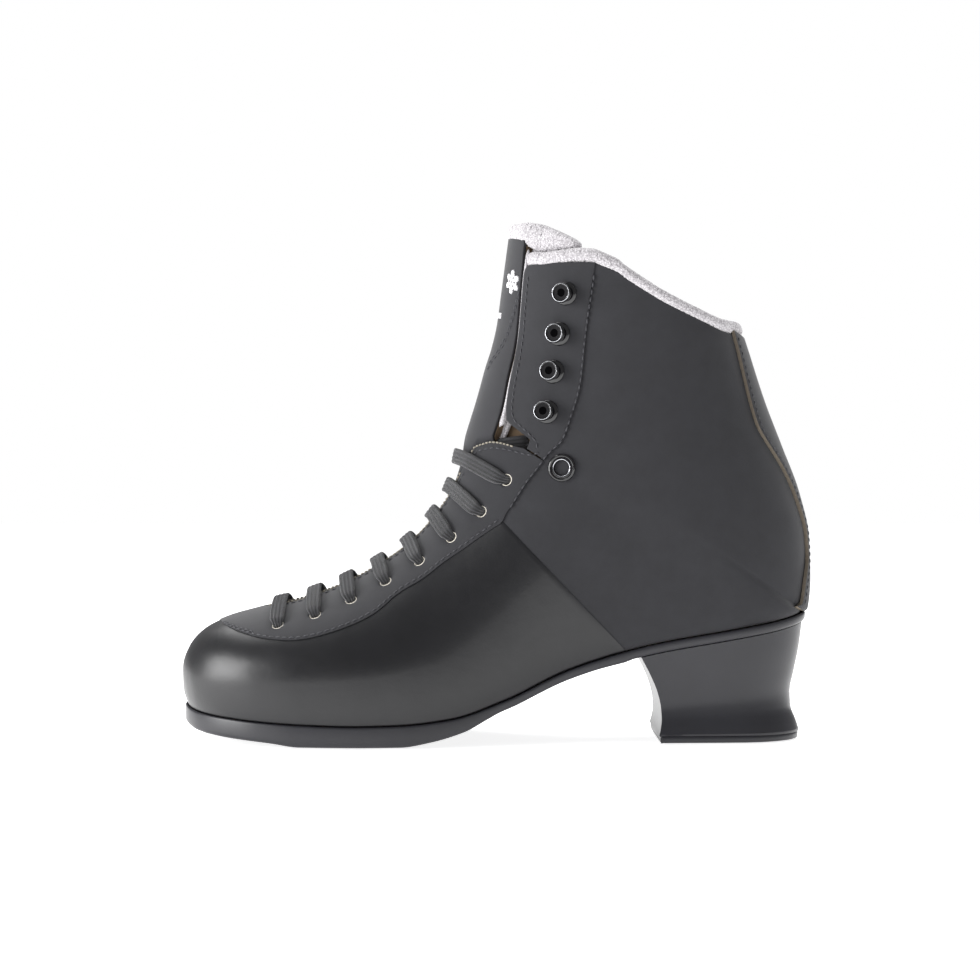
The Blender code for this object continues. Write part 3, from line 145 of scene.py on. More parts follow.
def onLast(section, girth, side, depth=0.0):
    # superellipse quarters above and below the widest girth, set between the front and the base line
    section, girth, side, depth = np.broadcast_arrays(np.asarray(section, float), girth, side, depth)
    row = lastRow(section)
    frontNormal = inwardNormal(np.maximum(section - 0.02, 0), np.minimum(section + 0.02, lastEnd), 0, 1.0)
    front = row[..., 0:2] + depth[..., None] * frontNormal
    base = row[..., 2:4] + depth[..., None] * baseInward(section)
    base[..., 1] = np.maximum(base[..., 1], row[..., 3])
    widest = np.maximum(row[..., 4] - depth, 0.0)
    feather = np.clip(row[..., 5] - np.clip(depth, 0.0, None), 0.0, None)
    share, above, below, centre = (row[..., k] for k in (6, 7, 8, 9))
    upper = np.pi / 2 * np.clip(girth / widestGirth, 0, 1)
    lower = np.pi / 2 * np.clip((girth - widestGirth) / (1 - widestGirth), 0, 1)
    isUpper = girth < widestGirth
    cosUpper, cosLower = np.clip(np.cos(upper), 0, 1), np.clip(np.cos(lower), 0, 1)
    way = np.where(isUpper, share * (1 - cosUpper ** (2 / above)),
                   share + (1 - share) * np.sin(lower) ** (2 / below))
    half = np.where(isUpper, widest * np.sin(upper) ** (2 / above),
                    feather + (widest - feather) * cosLower ** (2 / below))
    place = front + (base - front) * way[..., None]
    return np.stack((place[..., 0], centre + side * half, place[..., 1]), -1)


def unit(vectors):
    return vectors / (np.linalg.norm(vectors, axis=-1, keepdims=True) + 1e-12)


def lastNormal(section, girth, side):
    # outward: the cross product of the directions along the boot and down its side
    section, girth = np.asarray(section), np.asarray(girth)
    along = onLast(section + 0.02, girth, side) - onLast(section - 0.02, girth, side)
    down = onLast(section, girth + 0.004, side) - onLast(section, np.maximum(girth - 0.004, 0), side)
    return unit(np.cross(along, down) * np.asarray(side, float)[..., None])


# Seams and edges on the last, as (section, girth)
seams = {
    "throat": ((6.0, 0.0), (6.45, 0.065), (7.4, 0.090), (9.2, 0.080), (11.2, 0.066), (12.3, 0.088),
               (12.9, 0.110), (13.56, 0.152)),
    "wrap": ((4.7, 0.0), (5.0, 0.160), (5.6, 0.285), (6.4, 0.362), (7.2, 0.388), (8.0, 0.375),
             (8.8, 0.350), (9.7, 0.306), (10.6, 0.311), (11.8, 0.353), (12.7, 0.395)),
    "facing": ((12.9, 0.398), (15.2, 0.405), (17.3, 0.430), (20.5, 0.458), (23.75, 0.510)),
    "backstay": ((16.3, 0.915), (17.7, 0.925), (18.6, 0.952), (19.7, 0.925), (20.3, 0.897),
                 (21.2, 0.840), (22.2, 0.850), (23.5, 0.862)),
    "lining": ((5.5, 0.0), (5.8, 0.30), (6.2, 0.42), (8.0, 0.43), (12.0, 0.385), (13.5, 0.380), (15.2, 0.375),
               (15.9, 0.350), (16.3, 0.310), (16.9, 0.262), (19.0, 0.240), (23.0, 0.248)),
    "tongue": ((14.0, 0.215), (16.9, 0.218), (19.0, 0.200), (23.5, 0.198)),
}
collarLine = ((0.215, 22.60), (0.25, 22.78), (0.29, 22.87), (0.375, 23.25), (0.45, 23.58), (0.51, 23.73),
              (0.57, 23.73), (0.62, 23.53), (0.67, 23.38), (0.73, 23.33), (0.80, 23.32),
              (0.86, 23.42), (0.93, 23.56), (1.0, 23.60))
wrapEnd = 12.7
stayEndFront = ((12.95, 0.113), (13.56, 0.152), (13.95, 0.165), (14.27, 0.198), (14.6, 0.232),
                (14.86, 0.272), (15.05, 0.312), (15.22, 0.338))
stayEndBack = ((12.95, 0.391), (13.35, 0.393), (13.7, 0.395), (14.05, 0.396), (14.4, 0.397),
               (14.7, 0.398), (14.98, 0.399), (15.22, 0.400))
facingFront = ((15.32, 0.348), (15.9, 0.345), (16.0, 0.312), (16.15, 0.262), (16.9, 0.240), (18.0, 0.228),
               (19.5, 0.221), (21.0, 0.221), (22.3, 0.222), (22.68, 0.236))
facingBack = ((15.32, 0.400), (15.75, 0.404), (16.1, 0.409), (16.5, 0.415), (17.3, 0.424), (18.3, 0.434),
              (19.7, 0.447), (21.1, 0.461), (22.6, 0.481), (23.70, 0.502))
hookPlaces = ((22.21, 0.398), (20.67, 0.375), (19.28, 0.362), (17.74, 0.367))
eyeletPlace = (15.45, 0.447)
laceHolePlaces = ((6.62, 0.283), (7.51, 0.268), (8.37, 0.246), (9.26, 0.230), (10.23, 0.234),
                  (11.30, 0.265), (12.45, 0.310), (13.66, 0.338))


def seam(name, at):
    # the seam's girth at a section
    points = np.array(seams[name])
    return smoothCurve(points[:, 0], points[:, 1], at)[..., 0]


def collarSection(girth):
    # the collar's section at a girth
    points = np.array(collarLine)
    return smoothCurve(points[:, 0], points[:, 1], girth)[..., 0]


def resampled(points, count):
    # the same line with its points spread evenly over its index
    points = np.asarray(points, float)
    return smoothCurve(np.arange(len(points)), points, np.linspace(0, len(points) - 1, count))


def hexColour(text):
    # sRGB hex to linear
    values = np.array([int(text[k:k + 2], 16) for k in (1, 3, 5)]) / 255
    linear = np.where(values <= 0.04045, values / 12.92, ((values + 0.055) / 1.055) ** 2.4)
    return (*linear, 1.0)


def addNode(tree, kind, settings=None, links=None):
    node = tree.nodes.new(kind)
    for key, value in (settings or {}).items():
        if isinstance(key, int) or key in node.inputs:
            node.inputs[key].default_value = value
        else:
            setattr(node, key, value)
    for key, (source, output) in (links or {}).items():
        tree.links.new(source.outputs[output], node.inputs[key])
    return node


def newMaterial(name, colour, roughness, **sockets):
    made = bpy.data.materials.new(name)
    made.use_nodes = True
    tree = made.node_tree
    shader = tree.nodes["Principled BSDF"]
    shader.inputs["Base Color"].default_value = hexColour(colour)
    shader.inputs["Roughness"].default_value = roughness
    for key, value in sockets.items():
        shader.inputs[key.replace("_", " ")].default_value = value
    return made, tree, shader


def mottled(tree, shader, place, low, high, patch, detail=3.0):
    # slow change between two hex colours over patches of the given size in metres
    noise = addNode(tree, "ShaderNodeTexNoise", {"Scale": 1 / patch, "Detail": detail, "Roughness": 0.6},
                    {"Vector": (place, "Object")})
    blend = addNode(tree, "ShaderNodeMix", {"data_type": "RGBA", 6: hexColour(low), 7: hexColour(high)},
                    {0: (noise, "Fac")})
    tree.links.new(blend.outputs[2], shader.inputs["Base Color"])
    return blend


def bumped(tree, shader, source, output, height, strength):
    bump = addNode(tree, "ShaderNodeBump", {"Strength": strength, "Distance": height},
                   {"Height": (source, output)})
    tree.links.new(bump.outputs["Normal"], shader.inputs["Normal"])
    return bump


def nubuckLeather():
    # microfibre nubuck: buffed nap, so no gloss, a faint sheen and a fine grain
    made, tree, shader = newMaterial("nubuckMicrofibre", "#2c2c2f", 0.82, Sheen_Weight=0.18,
                                     Sheen_Roughness=0.5, Specular_IOR_Level=0.35)
    place = addNode(tree, "ShaderNodeTexCoord")
    mottled(tree, shader, place, "#262629", "#313135", 9 * mm, 5.0)
    nap = addNode(tree, "ShaderNodeTexNoise", {"Scale": 1 / (0.55 * mm), "Detail": 4.0, "Roughness": 0.7},
                  {"Vector": (place, "Object")})
    bumped(tree, shader, nap, "Fac", 0.10 * mm, 0.55)
    return made


def smoothLeather():
    # coated calf: smooth finish with a very fine pore, which spreads its highlights softly
    made, tree, shader = newMaterial("coatedCalfLeather", "#0f0f12", 0.34, Specular_IOR_Level=0.5,
                                     Coat_Weight=0.12, Coat_Roughness=0.28)
    place = addNode(tree, "ShaderNodeTexCoord")
    mottled(tree, shader, place, "#0d0d10", "#141418", 14 * mm)
    pores = addNode(tree, "ShaderNodeTexVoronoi", {"Scale": 1 / (0.8 * mm), "feature": "SMOOTH_F1"},
                    {"Vector": (place, "Object")})
    folds = addNode(tree, "ShaderNodeTexNoise", {"Scale": 1 / (5 * mm), "Detail": 4.0},
                    {"Vector": (place, "Object")})
    both = addNode(tree, "ShaderNodeMath", {"operation": "MULTIPLY_ADD", 1: 0.22},
                   {0: (pores, "Distance"), 2: (folds, "Fac")})
    bumped(tree, shader, both, "Value", 0.16 * mm, 0.5)
    patchy = addNode(tree, "ShaderNodeMapRange", {3: 0.31, 4: 0.42}, {0: (folds, "Fac")})
    tree.links.new(patchy.outputs[0], shader.inputs["Roughness"])
    return made


def soleMaterial():
    # lacquered leather sole: satin, almost without grain
    made, tree, shader = newMaterial("lacqueredSole", "#26262b", 0.34, Specular_IOR_Level=0.5)
    place = addNode(tree, "ShaderNodeTexCoord")
    mottled(tree, shader, place, "#222226", "#2b2b31", 20 * mm)
    grain = addNode(tree, "ShaderNodeTexNoise", {"Scale": 1 / (1.2 * mm), "Detail": 5.0},
                    {"Vector": (place, "Object")})
    bumped(tree, shader, grain, "Fac", 0.05 * mm, 0.35)
    patchy = addNode(tree, "ShaderNodeMapRange", {3: 0.28, 4: 0.40}, {0: (grain, "Fac")})
    tree.links.new(patchy.outputs[0], shader.inputs["Roughness"])
    return made


def terryCloth(name, low, high, loop=0.9 * mm):
    # terry: cotton loops that scatter light, drawn as small cells with painted shade darkening the gaps
    # between them
    made, tree, shader = newMaterial(name, high, 0.96, Sheen_Weight=0.35, Sheen_Roughness=0.6,
                                     Specular_IOR_Level=0.15)
    place = addNode(tree, "ShaderNodeTexCoord")
    cells = addNode(tree, "ShaderNodeTexVoronoi", {"Scale": 1 / loop, "Randomness": 0.8},
                    {"Vector": (place, "Object")})
    # painted shade: the colour darkens from each loop's middle towards the gaps between loops
    shade = addNode(tree, "ShaderNodeMapRange", {1: 0.15, 2: 0.75}, {0: (cells, "Distance")})
    blend = addNode(tree, "ShaderNodeMix", {"data_type": "RGBA", 6: hexColour(high), 7: hexColour(low)},
                    {0: (shade, 0)})
    tree.links.new(blend.outputs[2], shader.inputs["Base Color"])
    down = addNode(tree, "ShaderNodeMath", {"operation": "MULTIPLY", 1: -1.0}, {0: (cells, "Distance")})
    bumped(tree, shader, down, "Value", 0.45 * mm, 0.8)
    return made


def wovenLace():
    # flat braided polyester: fine slanted picks over each rib, read from the lace's own UV in millimetres,
    # with painted highlights on the picks and painted shade in the grooves between the ribs
    made, tree, shader = newMaterial("braidedPolyester", "#222226", 0.78, Sheen_Weight=0.3,
                                     Specular_IOR_Level=0.3)
    place = addNode(tree, "ShaderNodeUVMap", {"uv_map": "weave"})
    picks = addNode(tree, "ShaderNodeTexWave",
                    {"Scale": 2.6, "Distortion": 1.2, "Detail": 2.0, "bands_direction": "DIAGONAL"},
                    {"Vector": (place, "UV")})
    # painted highlight and shade: each slanted pick runs from dark to light
    blend = addNode(tree, "ShaderNodeMix",
                    {"data_type": "RGBA", 6: hexColour("#1b1b1f"), 7: hexColour("#505056")},
                    {0: (picks, "Fac")})
    ribs = addNode(tree, "ShaderNodeTexWave", {"Scale": 0.1795, "Phase Offset": 1.571},
                   {"Vector": (place, "UV")})
    # painted shade: the colour is darkened in the grooves between the four ribs
    shade = addNode(tree, "ShaderNodeMix", {"data_type": "RGBA", "blend_type": "MULTIPLY", 0: 0.75},
                    {6: (blend, 2), 7: (ribs, "Color")})
    tree.links.new(shade.outputs[2], shader.inputs["Base Color"])
    heights = addNode(tree, "ShaderNodeMath", {"operation": "MULTIPLY_ADD", 1: 0.5},
                      {0: (picks, "Fac"), 2: (ribs, "Fac")})
    bumped(tree, shader, heights, "Value", 0.35 * mm, 0.9)
    return made


def plainMaterial(name, colour, other, roughness, patch, bumpHeight, **sockets):
    # one finish with a slow change of tone and a fine texture
    made, tree, shader = newMaterial(name, colour, roughness, **sockets)
    place = addNode(tree, "ShaderNodeTexCoord")
    mottled(tree, shader, place, colour, other, patch)
    fine = addNode(tree, "ShaderNodeTexNoise", {"Scale": 3 / patch, "Detail": 4.0},
                   {"Vector": (place, "Object")})
    bumped(tree, shader, fine, "Fac", bumpHeight, 0.6)
    return made


materials = {
    "nubuck": nubuckLeather(),
    "smooth": smoothLeather(),
    "sole": soleMaterial(),
    "terry": terryCloth("whiteTerry", "#a9a5a9", "#dad7da"),
    "liningCloth": terryCloth("brushedLiningCloth", "#b9b5b6", "#dcd8d9", 0.6 * mm),
    "lace": wovenLace(),
    "rawEdge": plainMaterial("rawLeatherEdge", "#5d554b", "#7c7265", 0.9, 1.5 * mm, 0.2 * mm),
    "darkEdge": plainMaterial("dyedLeatherEdge", "#151517", "#202023", 0.7, 1.5 * mm, 0.1 * mm),
    "cream": plainMaterial("undyedLeatherCore", "#d9d2c4", "#efe9dd", 0.85, 1.0 * mm, 0.1 * mm),
    "foam": plainMaterial("openCellFoam", "#4a3c2e", "#6a5843", 0.95, 0.8 * mm, 0.3 * mm),
    "thread": plainMaterial("bondedNylonThread", "#161619", "#4d4d53", 0.5, 0.7 * mm, 0.1 * mm),
    "overlock": plainMaterial("overlockThread", "#6f695e", "#b9b2a4", 0.8, 0.9 * mm, 0.1 * mm),
    # near-black: the hooks' own black face, and in the eyelets a painted shade disc down the hole, kept from
    # reflecting
    "hookFaceAndPaintedHoleShade": plainMaterial("blackHookFaceAndPaintedHoleShade", "#020203", "#050506", 0.9, 3 * mm, 0.02 * mm,
                              Specular_IOR_Level=0.03),
    "whiteThread": plainMaterial("whiteRayonThread", "#e4e2e6", "#fbfafc", 0.55, 0.6 * mm, 0.1 * mm,
                                 Sheen_Weight=0.3),
    "paintedSteel": plainMaterial("blackLacqueredBrass", "#0b0b0d", "#101013", 0.16, 4 * mm, 0.01 * mm,
                                  Coat_Weight=0.6, Coat_Roughness=0.06),
    # nickel: the eyelets' own inner ring, and on the hooks' crest a painted highlight ring
    "eyeletNickelAndPaintedHookHighlight": plainMaterial("eyeletNickelRingAndPaintedHookHighlight", "#b9bac0", "#d4d5da", 0.22, 3 * mm, 0.01 * mm,
                               Metallic=1.0),
    "board": plainMaterial("leatherFibreBoard", "#7a6448", "#8d7656", 0.9, 2 * mm, 0.1 * mm),
    "springSteel": plainMaterial("springSteel", "#8a8b90", "#a2a3a8", 0.35, 5 * mm, 0.02 * mm,
                                 Metallic=1.0),
    "aglet": plainMaterial("lacquerDippedTip", "#101012", "#1b1b1f", 0.25, 3 * mm, 0.03 * mm),
    "elastic": plainMaterial("wovenElastic", "#161618", "#232327", 0.8, 0.8 * mm, 0.1 * mm),
}
print("materials made")


def newObject(name, mesh, slots, smoothAngle=40):
    for slotName in slots:
        mesh.materials.append(materials[slotName])
    mesh.shade_smooth()
    mesh.set_sharp_from_angle(angle=math.radians(smoothAngle))
    made = bpy.data.objects.new(name, mesh)
    bpy.context.scene.collection.objects.link(made)
    return made


def gridFaces(rows, columns, start=0, flip=False, wrap=False):
    # quads of a grid of points; wrap joins the last column to the first
    across = columns if wrap else columns - 1
    r, c = np.meshgrid(np.arange(rows - 1), np.arange(across), indexing="ij")
    n = (c + 1) % columns
    quads = np.stack((r * columns + c, (r + 1) * columns + c, (r + 1) * columns + n, r * columns + n), -1)
    quads = quads.reshape(-1, 4) + start
    return quads[:, ::-1] if flip else quads


def meshFrom(name, points, faces, merge=2e-5, slotOf=None, uv=None):
    mesh = bpy.data.meshes.new(name)
    mesh.from_pydata(np.asarray(points).reshape(-1, 3).tolist(), [], np.asarray(faces).tolist())
    if uv is not None:
        layer = mesh.uv_layers.new(name="weave")
        corners = np.zeros(len(mesh.loops), np.int32)
        mesh.loops.foreach_get("vertex_index", corners)
        layer.data.foreach_set("uv", np.asarray(uv)[corners].astype(np.float32).ravel())
    if slotOf is not None:
        mesh.polygons.foreach_set("material_index", np.asarray(slotOf, np.int32))
    if merge:
        bm = bmesh.new()
        bm.from_mesh(mesh)
        bmesh.ops.remove_doubles(bm, verts=bm.verts, dist=merge)
        bmesh.ops.dissolve_degenerate(bm, edges=bm.edges, dist=merge)
        bm.to_mesh(mesh)
        bm.free()
    return mesh


def facedOut(mesh):
    # the mesh with all its faces pointing outwards
    bm = bmesh.new()
    bm.from_mesh(mesh)
    bmesh.ops.recalc_face_normals(bm, faces=bm.faces)
    bm.to_mesh(mesh)
    bm.free()
    return mesh


def ladderCaps(rows, around):
    # a ladder of quads across the first and the last ring of a tube of rings
    k = np.arange(around // 2 - 1)
    m = around - 1 - k
    end = (rows - 1) * around
    return np.concatenate((np.stack((k, m, m - 1, k + 1), -1), np.stack((k + 1, m - 1, m, k), -1) + end))


def leatherPiece(name, patches, depth, thickness, slots, edgeRound=0.35 * mm, lift=None):
    # patches of (section grid, girth grid, side) on the last, joined, thickened inwards, edges rounded;
    # lift gives more depth at each point from its section and girth
    points, faces, start = [], [], 0
    for sections, girths, side in patches:
        here = depth if lift is None else depth + lift(sections, girths)
        grid = onLast(sections, girths, side, here)
        points.append(grid.reshape(-1, 3))
        faces.append(gridFaces(*sections.shape, start, flip=side < 0))
        start += sections.size
    made = newObject(name, meshFrom(name, np.concatenate(points), np.concatenate(faces)), slots)
    solid = made.modifiers.new("thickness", "SOLIDIFY")
    solid.thickness = thickness
    solid.offset = -1.0
    solid.material_offset_rim = 1
    if edgeRound:
        bevel = made.modifiers.new("edge", "BEVEL")
        bevel.width = edgeRound
        bevel.segments = 2
        bevel.limit_method = "ANGLE"
        bevel.angle_limit = math.radians(50)
        bevel.use_clamp_overlap = True
    return made


def between(low, high, columns):
    # grids ruled from one line of (section, girth) to another
    share = np.linspace(0, 1, columns)[None, :, None]
    low, high = np.asarray(low, float)[:, None], np.asarray(high, float)[:, None]
    both = low + (high - low) * share
    return both[..., 0], both[..., 1]


def settledGrid(lowSection, topSection, lowGirth, highGirth, rows, columns):
    # grids between lines that depend on each other; a few rounds settle them
    up, across = np.linspace(0, 1, rows)[:, None], np.linspace(0, 1, columns)[None, :]
    section = np.broadcast_to(12.0 + 11.0 * up, (rows, columns))
    for _ in range(14):
        low = lowGirth(section)
        girth = low + (highGirth(section) - low) * across
        floor = lowSection(girth)
        section = floor + (topSection(girth) - floor) * up
    return section, girth


def present(piece, body, slotName, *nodes):
    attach(piece, body)
    if nodes:
        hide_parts(*nodes)


upper = {"wrapDepth": -0.1 * mm, "stayDepth": -0.5 * mm, "facingDepth": -0.5 * mm, "quarterDepth": 0.2 * mm,
         "wrapThickness": 1.6 * mm, "stayThickness": 1.6 * mm, "quarterThickness": 1.5 * mm,
         "backstayDepth": -1.5 * mm, "backstayThickness": 1.6 * mm, "lap": 0.016, "laceHole": 5.2 * mm}


def smoothVamp():
    sections = np.concatenate((np.linspace(0, 1, 9)[:-1] ** 1.4, np.linspace(1, 4.6, 30)[:-1],
                               np.linspace(4.6, 6.4, 30)[:-1], np.linspace(6.4, wrapEnd, 60)))
    lap = upper["lap"]
    low = np.where(sections < seams["wrap"][0][0] + 0.1, 0.0, np.maximum(seam("wrap", sections) - lap, 0.0))
    grids = between(np.column_stack((sections, low)), np.column_stack((sections, np.ones_like(low))), 60)
    piece = leatherPiece("smoothVamp", [(*grids, side) for side in bothSides], upper["wrapDepth"],
                         upper["wrapThickness"], ("smooth", "darkEdge"))
    present(piece, "boot", "smooth_leather", "smooth_vamp")


def stayLines():
    sections = np.concatenate((np.linspace(4.72, 6.4, 14), np.linspace(6.5, wrapEnd, 24)))
    low = np.where(sections <= 6.0, 0.0, seam("throat", sections))
    high = np.maximum(seam("wrap", sections), low + 0.002)
    front = np.vstack((np.column_stack((sections, low)), stayEndFront))
    back = np.vstack((np.column_stack((sections, high)), stayEndBack))
    return resampled(front, 120), resampled(back, 120)


def laceStay():
    low, high = stayLines()
    grids = between(low, high, 34)
    piece = leatherPiece("laceStay", [(*grids, side) for side in bothSides], upper["stayDepth"],
                         upper["stayThickness"], ("nubuck", "darkEdge"))
    punch(piece, laceHolePlaces, upper["laceHole"], 5 * mm, 20)
    present(piece, "boot", "matt_leather", "lace_stay")


def punch(piece, places, diameter, reach, sides):
    # round holes through a piece, square to the last
    points, faces = [], []
    for section, girth in places:
        for side in bothSides:
            centre = onLast(section, girth, side)
            normal = lastNormal(np.array(section), np.array(girth), np.array(side))
            first, second = axes(normal)
            angle = np.linspace(0, 2 * np.pi, sides, endpoint=False)
            ring = (np.cos(angle)[:, None] * first + np.sin(angle)[:, None] * second) * diameter / 2
            start = sum(len(p) for p in points)
            points.append(np.concatenate((centre + ring - normal * reach, centre + ring + normal * reach)))
            walls = [(start + k, start + (k + 1) % sides, start + sides + (k + 1) % sides, start + sides + k)
                     for k in range(sides)]
            faces += walls + [tuple(range(start + sides - 1, start - 1, -1)),
                              tuple(range(start + sides, start + 2 * sides))]
    mesh = bpy.data.meshes.new("punch")
    mesh.from_pydata(np.concatenate(points).tolist(), [], faces)
    cutter = bpy.data.objects.new("punch", mesh)
    bpy.context.scene.collection.objects.link(cutter)
    hole = piece.modifiers.new("holes", "BOOLEAN")
    hole.operation, hole.solver, hole.object = "DIFFERENCE", "EXACT", cutter
    applyModifiers(piece)
    bpy.data.objects.remove(cutter)


def applyModifiers(piece):
    bpy.context.view_layer.update()
    graph = bpy.context.evaluated_depsgraph_get()
    mesh = bpy.data.meshes.new_from_object(piece.evaluated_get(graph))
    piece.modifiers.clear()
    piece.data = mesh


def axes(normal):
    # two unit vectors square to a normal; the first lies across the boot's length
    normal = np.asarray(normal, float)
    first = unit(np.cross(np.broadcast_to((0.0, 0.0, 1.0), normal.shape), normal))
    return first, unit(np.cross(normal, first))


def quarters():
    lap = upper["lap"]
    grids = settledGrid(lambda g: np.full_like(g, wrapEnd - 0.12), collarSection,
                        lambda s: seam("facing", s) - lap, lambda s: np.full_like(s, 0.9995), 90, 70)
    for side, where in ((outerSide, "outer"), (innerSide, "inner")):
        piece = leatherPiece(f"quarter{where.capitalize()}", [(*grids, side)], upper["quarterDepth"],
                             upper["quarterThickness"], ("nubuck", "darkEdge"))
        present(piece, "boot", "matt_leather", f"quarter_{where}")


def hookFacings():
    low, high = resampled(facingFront, 90), resampled(facingBack, 90)
    grids = between(low, high, 30)
    for side, where in ((outerSide, "outer"), (innerSide, "inner")):
        piece = leatherPiece(f"hookFacing{where.capitalize()}", [(*grids, side)], upper["facingDepth"],
                             upper["stayThickness"], ("nubuck", "darkEdge"))
        present(piece, "boot", "matt_leather", f"hook_facing_{where}")


def backstay():
    sections = np.linspace(16.45, 23.5, 90)
    low = seam("backstay", sections)
    grids = between(np.column_stack((sections, low)), np.column_stack((sections, np.ones_like(low))), 22)
    piece = leatherPiece("backstay", [(*grids, side) for side in bothSides], upper["backstayDepth"],
                         upper["backstayThickness"], ("nubuck", "rawEdge"), 0.25 * mm)
    present(piece, "boot", "matt_leather", "backstay")


smoothVamp()
laceStay()
quarters()
hookFacings()
backstay()
print("upper made")


soleShape = {"ledge": 1.2 * mm, "heelStrip": 4.5 * mm, "gap": 0.3 * mm, "liftHeight": 3.0 * mm,
             "heelStart": 64.0 * mm, "heelEnd": 138.8 * mm, "heelRound": 104.0 * mm,
             "heelHalfWidth": 27.2 * mm}
# the sole's underside, x and z, flat under the ball of the foot
soleUnderside = ((-141.5, 7.6), (-133.0, 4.8), (-121.0, 3.2), (-98.0, 1.3), (-86.0, 0.0), (-42.0, 0.0),
                 (-29.0, 1.9), (-14.0, 6.2), (-4.0, 11.5), (6.6, 17.4), (17.3, 23.2), (33.0, 29.4),
                 (44.0, 32.6), (59.0, 36.4))
# the heel by height share: front x, back x, width share
heelProfile = ((0.0, 71.5, 137.3, 1.00), (0.10, 72.4, 135.7, 0.965), (0.22, 72.9, 133.5, 0.92),
               (0.36, 72.6, 133.1, 0.90), (0.56, 71.0, 135.0, 0.92), (0.78, 67.8, 137.2, 0.96),
               (1.0, 63.8, 138.6, 1.00))


def soleStations(count):
    # x, centre y, half width and base height from toe to heel; the heel's end is a half ellipse in plan
    rows = lastRow(np.concatenate((np.linspace(0.06, 3.0, count // 4)[:-1], np.linspace(3.0, 14.0, count))))
    straight = rows[:, [2, 9, 5, 3]]
    angle = np.radians(np.linspace(4, 88, count // 3))
    x = soleShape["heelRound"] + (soleShape["heelEnd"] - soleShape["heelRound"]) * np.sin(angle)
    heelRows = lastRow(np.linspace(14.0, heelCorner, 60))
    ended = np.column_stack((x, np.interp(x, heelRows[:, 2], heelRows[:, 9]),
                             soleShape["heelHalfWidth"] * np.cos(angle),
                             np.interp(x, heelRows[:, 2], heelRows[:, 3])))
    return np.vstack((straight, ended))


def planLoop(stations, grow):
    # the outline in plan, moved outwards along its own normal
    near = np.stack((stations[:, 0], stations[:, 1] - stations[:, 2]), -1)
    far = np.stack((stations[:, 0], stations[:, 1] + stations[:, 2]), -1)[::-1]
    loop = np.concatenate((near, far))
    along = unit(np.roll(loop, -1, axis=0) - np.roll(loop, 1, axis=0))
    return loop + np.stack((along[:, 1], -along[:, 0]), -1) * grow


def stationLoop(stations, grow, heights):
    # the outline in space, each point at its station's height
    loop = planLoop(stations, grow)
    return np.column_stack((loop, np.interp(loop[:, 0], stations[:, 0], heights)))


def liftedBase(stations, distance):
    # the sole line moved square to itself: height + distance * sqrt(1 + slope^2)
    slope = np.gradient(stations[:, 3], stations[:, 0])
    return stations[:, 3] + distance * np.sqrt(1 + slope ** 2)


def loopBody(name, loops, slots, smoothAngle=40):
    # walls between the loops, closed across the first and the last
    loops = np.array(loops)
    count, around = loops.shape[:2]
    faces = np.concatenate((gridFaces(count, around, wrap=True), ladderCaps(count, around)))
    mesh = meshFrom(name, loops, faces, merge=1e-6)
    return newObject(name, facedOut(mesh), slots, smoothAngle)


def outsolePiece():
    stations = soleStations(110)
    points = np.array(soleUnderside) * mm
    strip = stations[:, 3] - soleShape["heelStrip"]
    under = smoothCurve(points[:, 0], points[:, 1], stations[:, 0])[:, 0]
    under = np.where(stations[:, 0] > points[-1, 0], strip, np.minimum(under, strip))
    top = liftedBase(stations, -soleShape["gap"])
    ledge = soleShape["ledge"]
    edge = ((-1.7, 0.0), (-0.9, 0.12), (-0.35, 0.55), (-0.08, 1.2), (0.0, 2.0))
    loops = [stationLoop(stations, ledge + grow * mm, under + rise * mm) for grow, rise in edge]
    loops += [stationLoop(stations, ledge + grow * mm, top - drop * mm)
              for grow, drop in ((0.0, 1.0), (-0.1, 0.45), (-0.4, 0.1), (-1.0, 0.0))]
    piece = loopBody("outsolePlate", loops, ("sole",), 50)
    present(piece, "boot", "sole", "outsole")


def heelPieces():
    start, end = soleShape["heelStart"], soleShape["heelEnd"]
    stations = soleStations(110)
    rounded = stations[stations[:, 0] > soleShape["heelRound"]]
    rows = lastRow(np.linspace(12.5, 14.0, 40))
    straightX = np.linspace(start, soleShape["heelRound"], 24)
    others = [np.interp(straightX, rows[:, 2], rows[:, k]) for k in (9, 5, 3)]
    straight = np.column_stack((straightX, *others))
    heel = np.vstack((straight, rounded))
    roof = heel[:, 3] - (soleShape["heelStrip"] + soleShape["gap"])
    along = (heel[:, 0] - start) / (end - start)
    profile = np.array(heelProfile)

    def level(share, grow):
        front, back, width = smoothCurve(profile[:, 0], profile[:, 1:], np.array(share))
        here = heel.copy()
        here[:, 0] = (front + (back - front) * along) * mm
        here[:, 2] = heel[:, 2] * width
        return planLoop(here, grow)

    floor = soleShape["liftHeight"] + 0.1 * mm
    loops = []
    for share in np.concatenate(((0.0, 0.012, 0.03), np.linspace(0.06, 0.97, 26), (1.0,))):
        heights = floor + (roof - floor) * share
        grow = -0.5 * mm if share == 0 else 0.0
        loops.append(np.column_stack((level(share, grow), np.concatenate((heights, heights[::-1])))))
    present(loopBody("heelBlock", loops, ("sole",), 55), "boot", "sole", "heel_block")

    flat = np.zeros(2 * len(heel))
    lift = [np.column_stack((level(0.0, grow * mm), flat + height * mm))
            for grow, height in ((-1.5, 0.0), (-0.9, 0.25), (-0.7, 0.9), (-0.6, 2.4), (-0.9, 3.0))]
    present(loopBody("heelLift", lift, ("sole",), 50), "boot", "sole", "heel_lift")


outsolePiece()
heelPieces()
print("sole and heel made")


liningShape = {"depth": 5.2 * mm, "thickness": 1.8 * mm, "drop": 0.10, "footbedTop": 11.2 * mm,
               "footbedMargin": -10.5 * mm, "narrowest": 16.5 * mm}


